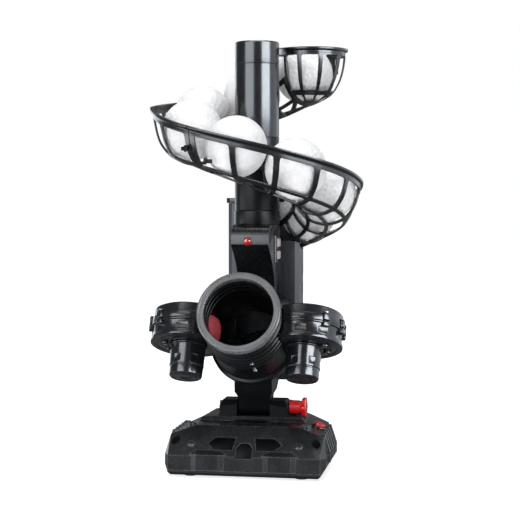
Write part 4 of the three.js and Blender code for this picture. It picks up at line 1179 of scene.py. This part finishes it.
def ramp_bowl():
    """Half-round bowl at the top end."""
    degrees = RAMP_JOINTS[0]
    a = radians(degrees)
    centre = Vector((PATH_R * cos(a), PATH_R * sin(a), path_z(degrees)))
    out = Vector((cos(a), sin(a), 0))
    along = Vector((out.y, -out.x, 0))         # away from the trough
    rim = depth(degrees)
    waist = rim - 14                           # the bowl narrows below this height
    drop = waist + TROUGH_OUT - 1.5

    def narrow(u, v, b):
        """The closed end narrows downwards more than the trough does."""
        weight = sin(radians(b)) ** 0.8 if 0 < b < 180 else 0.0
        full = BOWL_R * hypot(u, min(v, 0)) / TROUGH_OUT
        egg = full * sqrt(max(0, 1 - (min(0, v - waist) / drop) ** 2))
        return u + weight * (egg - min(u, full)) * (1 if v < rim - 9 else 0.6)

    rib = 7
    bay = (180 - 6 * rib) / 5
    # the inner ribs are moved along, which widens the first bay
    starts = [k * (bay + rib) + (7 if 0 < k < 5 else 0) for k in range(6)]
    stations, ribs = rib_stations(starts, rib, (0.22, 0.5, 0.78))
    nodes = []
    for b in stations:
        column = []
        for row in BOWL_ROWS:
            pair = []
            for u, v in section(row, rim):
                r = narrow(u, v, b)
                pair.append(tuple(centre + out * (r * cos(radians(b)))
                                  + along * (r * sin(radians(b)) * 1.05 + 0.25)
                                  + Vector((0, 0, v))))
            column.append(tuple(pair))
        nodes.append(column)
    top = rim_z(degrees)
    parts = [lattice(nodes, ribs, BOWL_WINDOWS), arm(46, top - 11, top - 1, 43.6, 6)]
    place(join("ramp_bowl", parts), RAMP, "head", ["ramp_end_bowl"], 40)


ramp_length("upper", RAMP_JOINTS[0], RAMP_JOINTS[1], arms=(228, 146))
ramp_length("lower", RAMP_JOINTS[1], RAMP_JOINTS[2], arms=(338,))
clip("ramp_clip_outer", 239.0, -1, -14.5, 38.2, 41.8)
clip("ramp_clip_lower", 250.5, 1, -24.0, 33.6, 37.2)
clip("bowl_clip", 47.0, 1, 1.5)
ramp_bowl()


# =================================================================== balls
def dimpled_ball(level, count=340, dimple_r=2.35, dimple_depth=0.85):
    """Ball with dimples spread on a golden-angle spiral."""
    bm = bmesh.new()
    bmesh.ops.create_icosphere(bm, subdivisions=level, radius=BALL_R)
    golden = pi * (3 - sqrt(5))
    k = np.arange(count)
    z = 1 - 2 * (k + 0.5) / count
    r = np.sqrt(1 - z * z)
    centres = np.stack([r * np.cos(golden * k), r * np.sin(golden * k), z], 1)
    for v in bm.verts:
        normal = np.array(v.co.normalized())
        distance = acos(max(-1, min(1, float((centres @ normal).max())))) * BALL_R
        if distance < dimple_r:
            t = 1 - (distance / dimple_r) ** 2
            v.co *= 1 - dimple_depth * t * t / BALL_R
    mesh = bpy.data.meshes.new("ball_mesh")
    bm.to_mesh(mesh)
    bm.free()
    mesh.transform(Matrix.Scale(MM, 4))
    for polygon in mesh.polygons:
        polygon.use_smooth = True
    mesh.materials.append(BALL)
    return mesh


ball_mesh = dimpled_ball(level=6)
for k in range(1, 9):
    lo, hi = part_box(f"ball_{k}")
    ball = add_object(f"practice_ball_{k}", ball_mesh)
    ball.matrix_world = (Matrix.Translation((lo + hi) / 2) @ turn(90 * (k % 4), "X")
                         @ turn(90 * (k // 3), "Z"))
    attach(ball, "head")
    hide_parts(f"ball_{k}")

# ================================================= studio, in metres
VIEW_TURN = 9.5                # degrees the camera stands to the right of straight ahead


def add_floor():
    bpy.ops.mesh.primitive_plane_add(size=8, location=(0, 0, 0))
    floor = bpy.context.object
    floor.name = "floor"
    floor.data.materials.append(floor_white("floor_white"))
    floor.visible_glossy = False
    floor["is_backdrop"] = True


def add_world(ambient, backdrop):
    """White world: ambient strength for lighting, backdrop strength for the camera."""
    world = bpy.data.worlds.new("studio")
    bpy.context.scene.world = world
    world.use_nodes = True
    tree = world.node_tree
    tree.nodes.clear()
    output = tree.nodes.new("ShaderNodeOutputWorld")
    mix = tree.nodes.new("ShaderNodeMixShader")
    rays = tree.nodes.new("ShaderNodeLightPath")
    for socket, strength in ((1, ambient), (2, backdrop)):
        background = tree.nodes.new("ShaderNodeBackground")
        background.inputs["Color"].default_value = (1, 1, 1, 1)
        background.inputs["Strength"].default_value = strength
        tree.links.new(background.outputs[0], mix.inputs[socket])
    tree.links.new(rays.outputs["Is Camera Ray"], mix.inputs[0])
    tree.links.new(mix.outputs[0], output.inputs[0])


def softbox(name, location, target, size, radiance, glossy):
    """Rectangular light of a given radiance, seen in reflections only or by diffuse only."""
    light = bpy.data.lights.new(name, "AREA")
    light.shape = "RECTANGLE"
    light.size, light.size_y = size
    light.energy = radiance * pi * size[0] * size[1]
    if name.startswith("strip_"):
        light.color = (0.86, 0.93, 1.0)        # slightly blue
    lamp = add_object(name, light)
    lamp.location = location
    aim = Vector(target) - Vector(location)
    lamp.rotation_euler = aim.to_track_quat("-Z", "Y").to_euler()
    lamp.visible_glossy = glossy
    lamp.visible_diffuse = not glossy
    lamp.visible_camera = False


def panel(name, bearing, width, height, z, radiance, distance=1.6):
    """Upright reflected panel, at a bearing to the right of the camera's direction."""
    a = radians(-90 + VIEW_TURN + bearing)
    size = 2 * distance * tan(radians(width / 2))
    softbox(name, (distance * cos(a), distance * sin(a), z), (0, 0, z), (size, height),
            radiance, glossy=True)


# name, location, target, size, radiance, glossy
SOFTBOXES = [
    ("key_top", (0.1, -0.5, 1.8), (0, 0, 0.25), (1.5, 1.1), 5.2, False),
    ("front_fill", (-0.5, -2.2, 0.9), (0, 0, 0.25), (1.4, 1.1), 3.4, False),
    ("back_fill", (0.2, 2.2, 1.0), (0, 0, 0.25), (1.5, 1.1), 1.6, False),
    ("top_gloss", (0.1, 0.1, 2.0), (0, 0, 0.2), (1.1, 0.9), 5.0, True),
    ("front_top_gloss", (-0.35, -1.2, 1.45), (0, 0, 0.2), (1.0, 0.28), 2.6, True),
]
# name, bearing and width in degrees, height, z of the centre, radiance
PANELS = [
    ("strip_right", 48, 44, 0.80, 0.75, 16.0),
    ("strip_right_low", 48, 40, 0.45, 0.10, 3.6),
    ("strip_left", -40, 46, 1.00, 0.77, 6.2),
    ("strip_left_low", -40, 48, 0.32, 0.10, 2.4),
    ("strip_back_right", 112, 78, 1.6, 0.6, 1.2),
    ("strip_back_left", -150, 30, 1.2, 0.6, 2.0),
    ("low_left", -84, 34, 0.34, 0.0, 6.0),
    ("low_front", 4, 30, 0.25, -0.55, 0.8),
]


def add_camera(distance, sideways, height, fall):
    """Camera in front of the column, looking down by fall per unit of distance."""
    a = radians(VIEW_TURN)
    right = Vector((cos(a), sin(a), 0))
    ahead = Vector((-sin(a), cos(a), 0))
    data = bpy.data.cameras.new("camera")
    data.sensor_width = 36
    data.lens = 96.923077
    data.clip_end = 20
    camera = add_object("camera", data)
    camera.location = (Vector((0, COLUMN_Y * MM, 0)) - ahead * distance + right * sideways
                       + Vector((0, 0, height)))
    down = atan(fall)
    look = ahead * cos(down) - Vector((0, 0, sin(down)))
    camera.rotation_euler = look.to_track_quat("-Z", "Y").to_euler()
    bpy.context.scene.camera = camera


add_floor()
add_world(ambient=0.16, backdrop=1.0)
for row in SOFTBOXES:
    softbox(*row)
for row in PANELS:
    panel(*row)
add_camera(distance=1.705, sideways=0.00365, height=0.3356, fall=0.05)
bpy.context.scene.view_settings.view_transform = "Standard"

lo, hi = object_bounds()
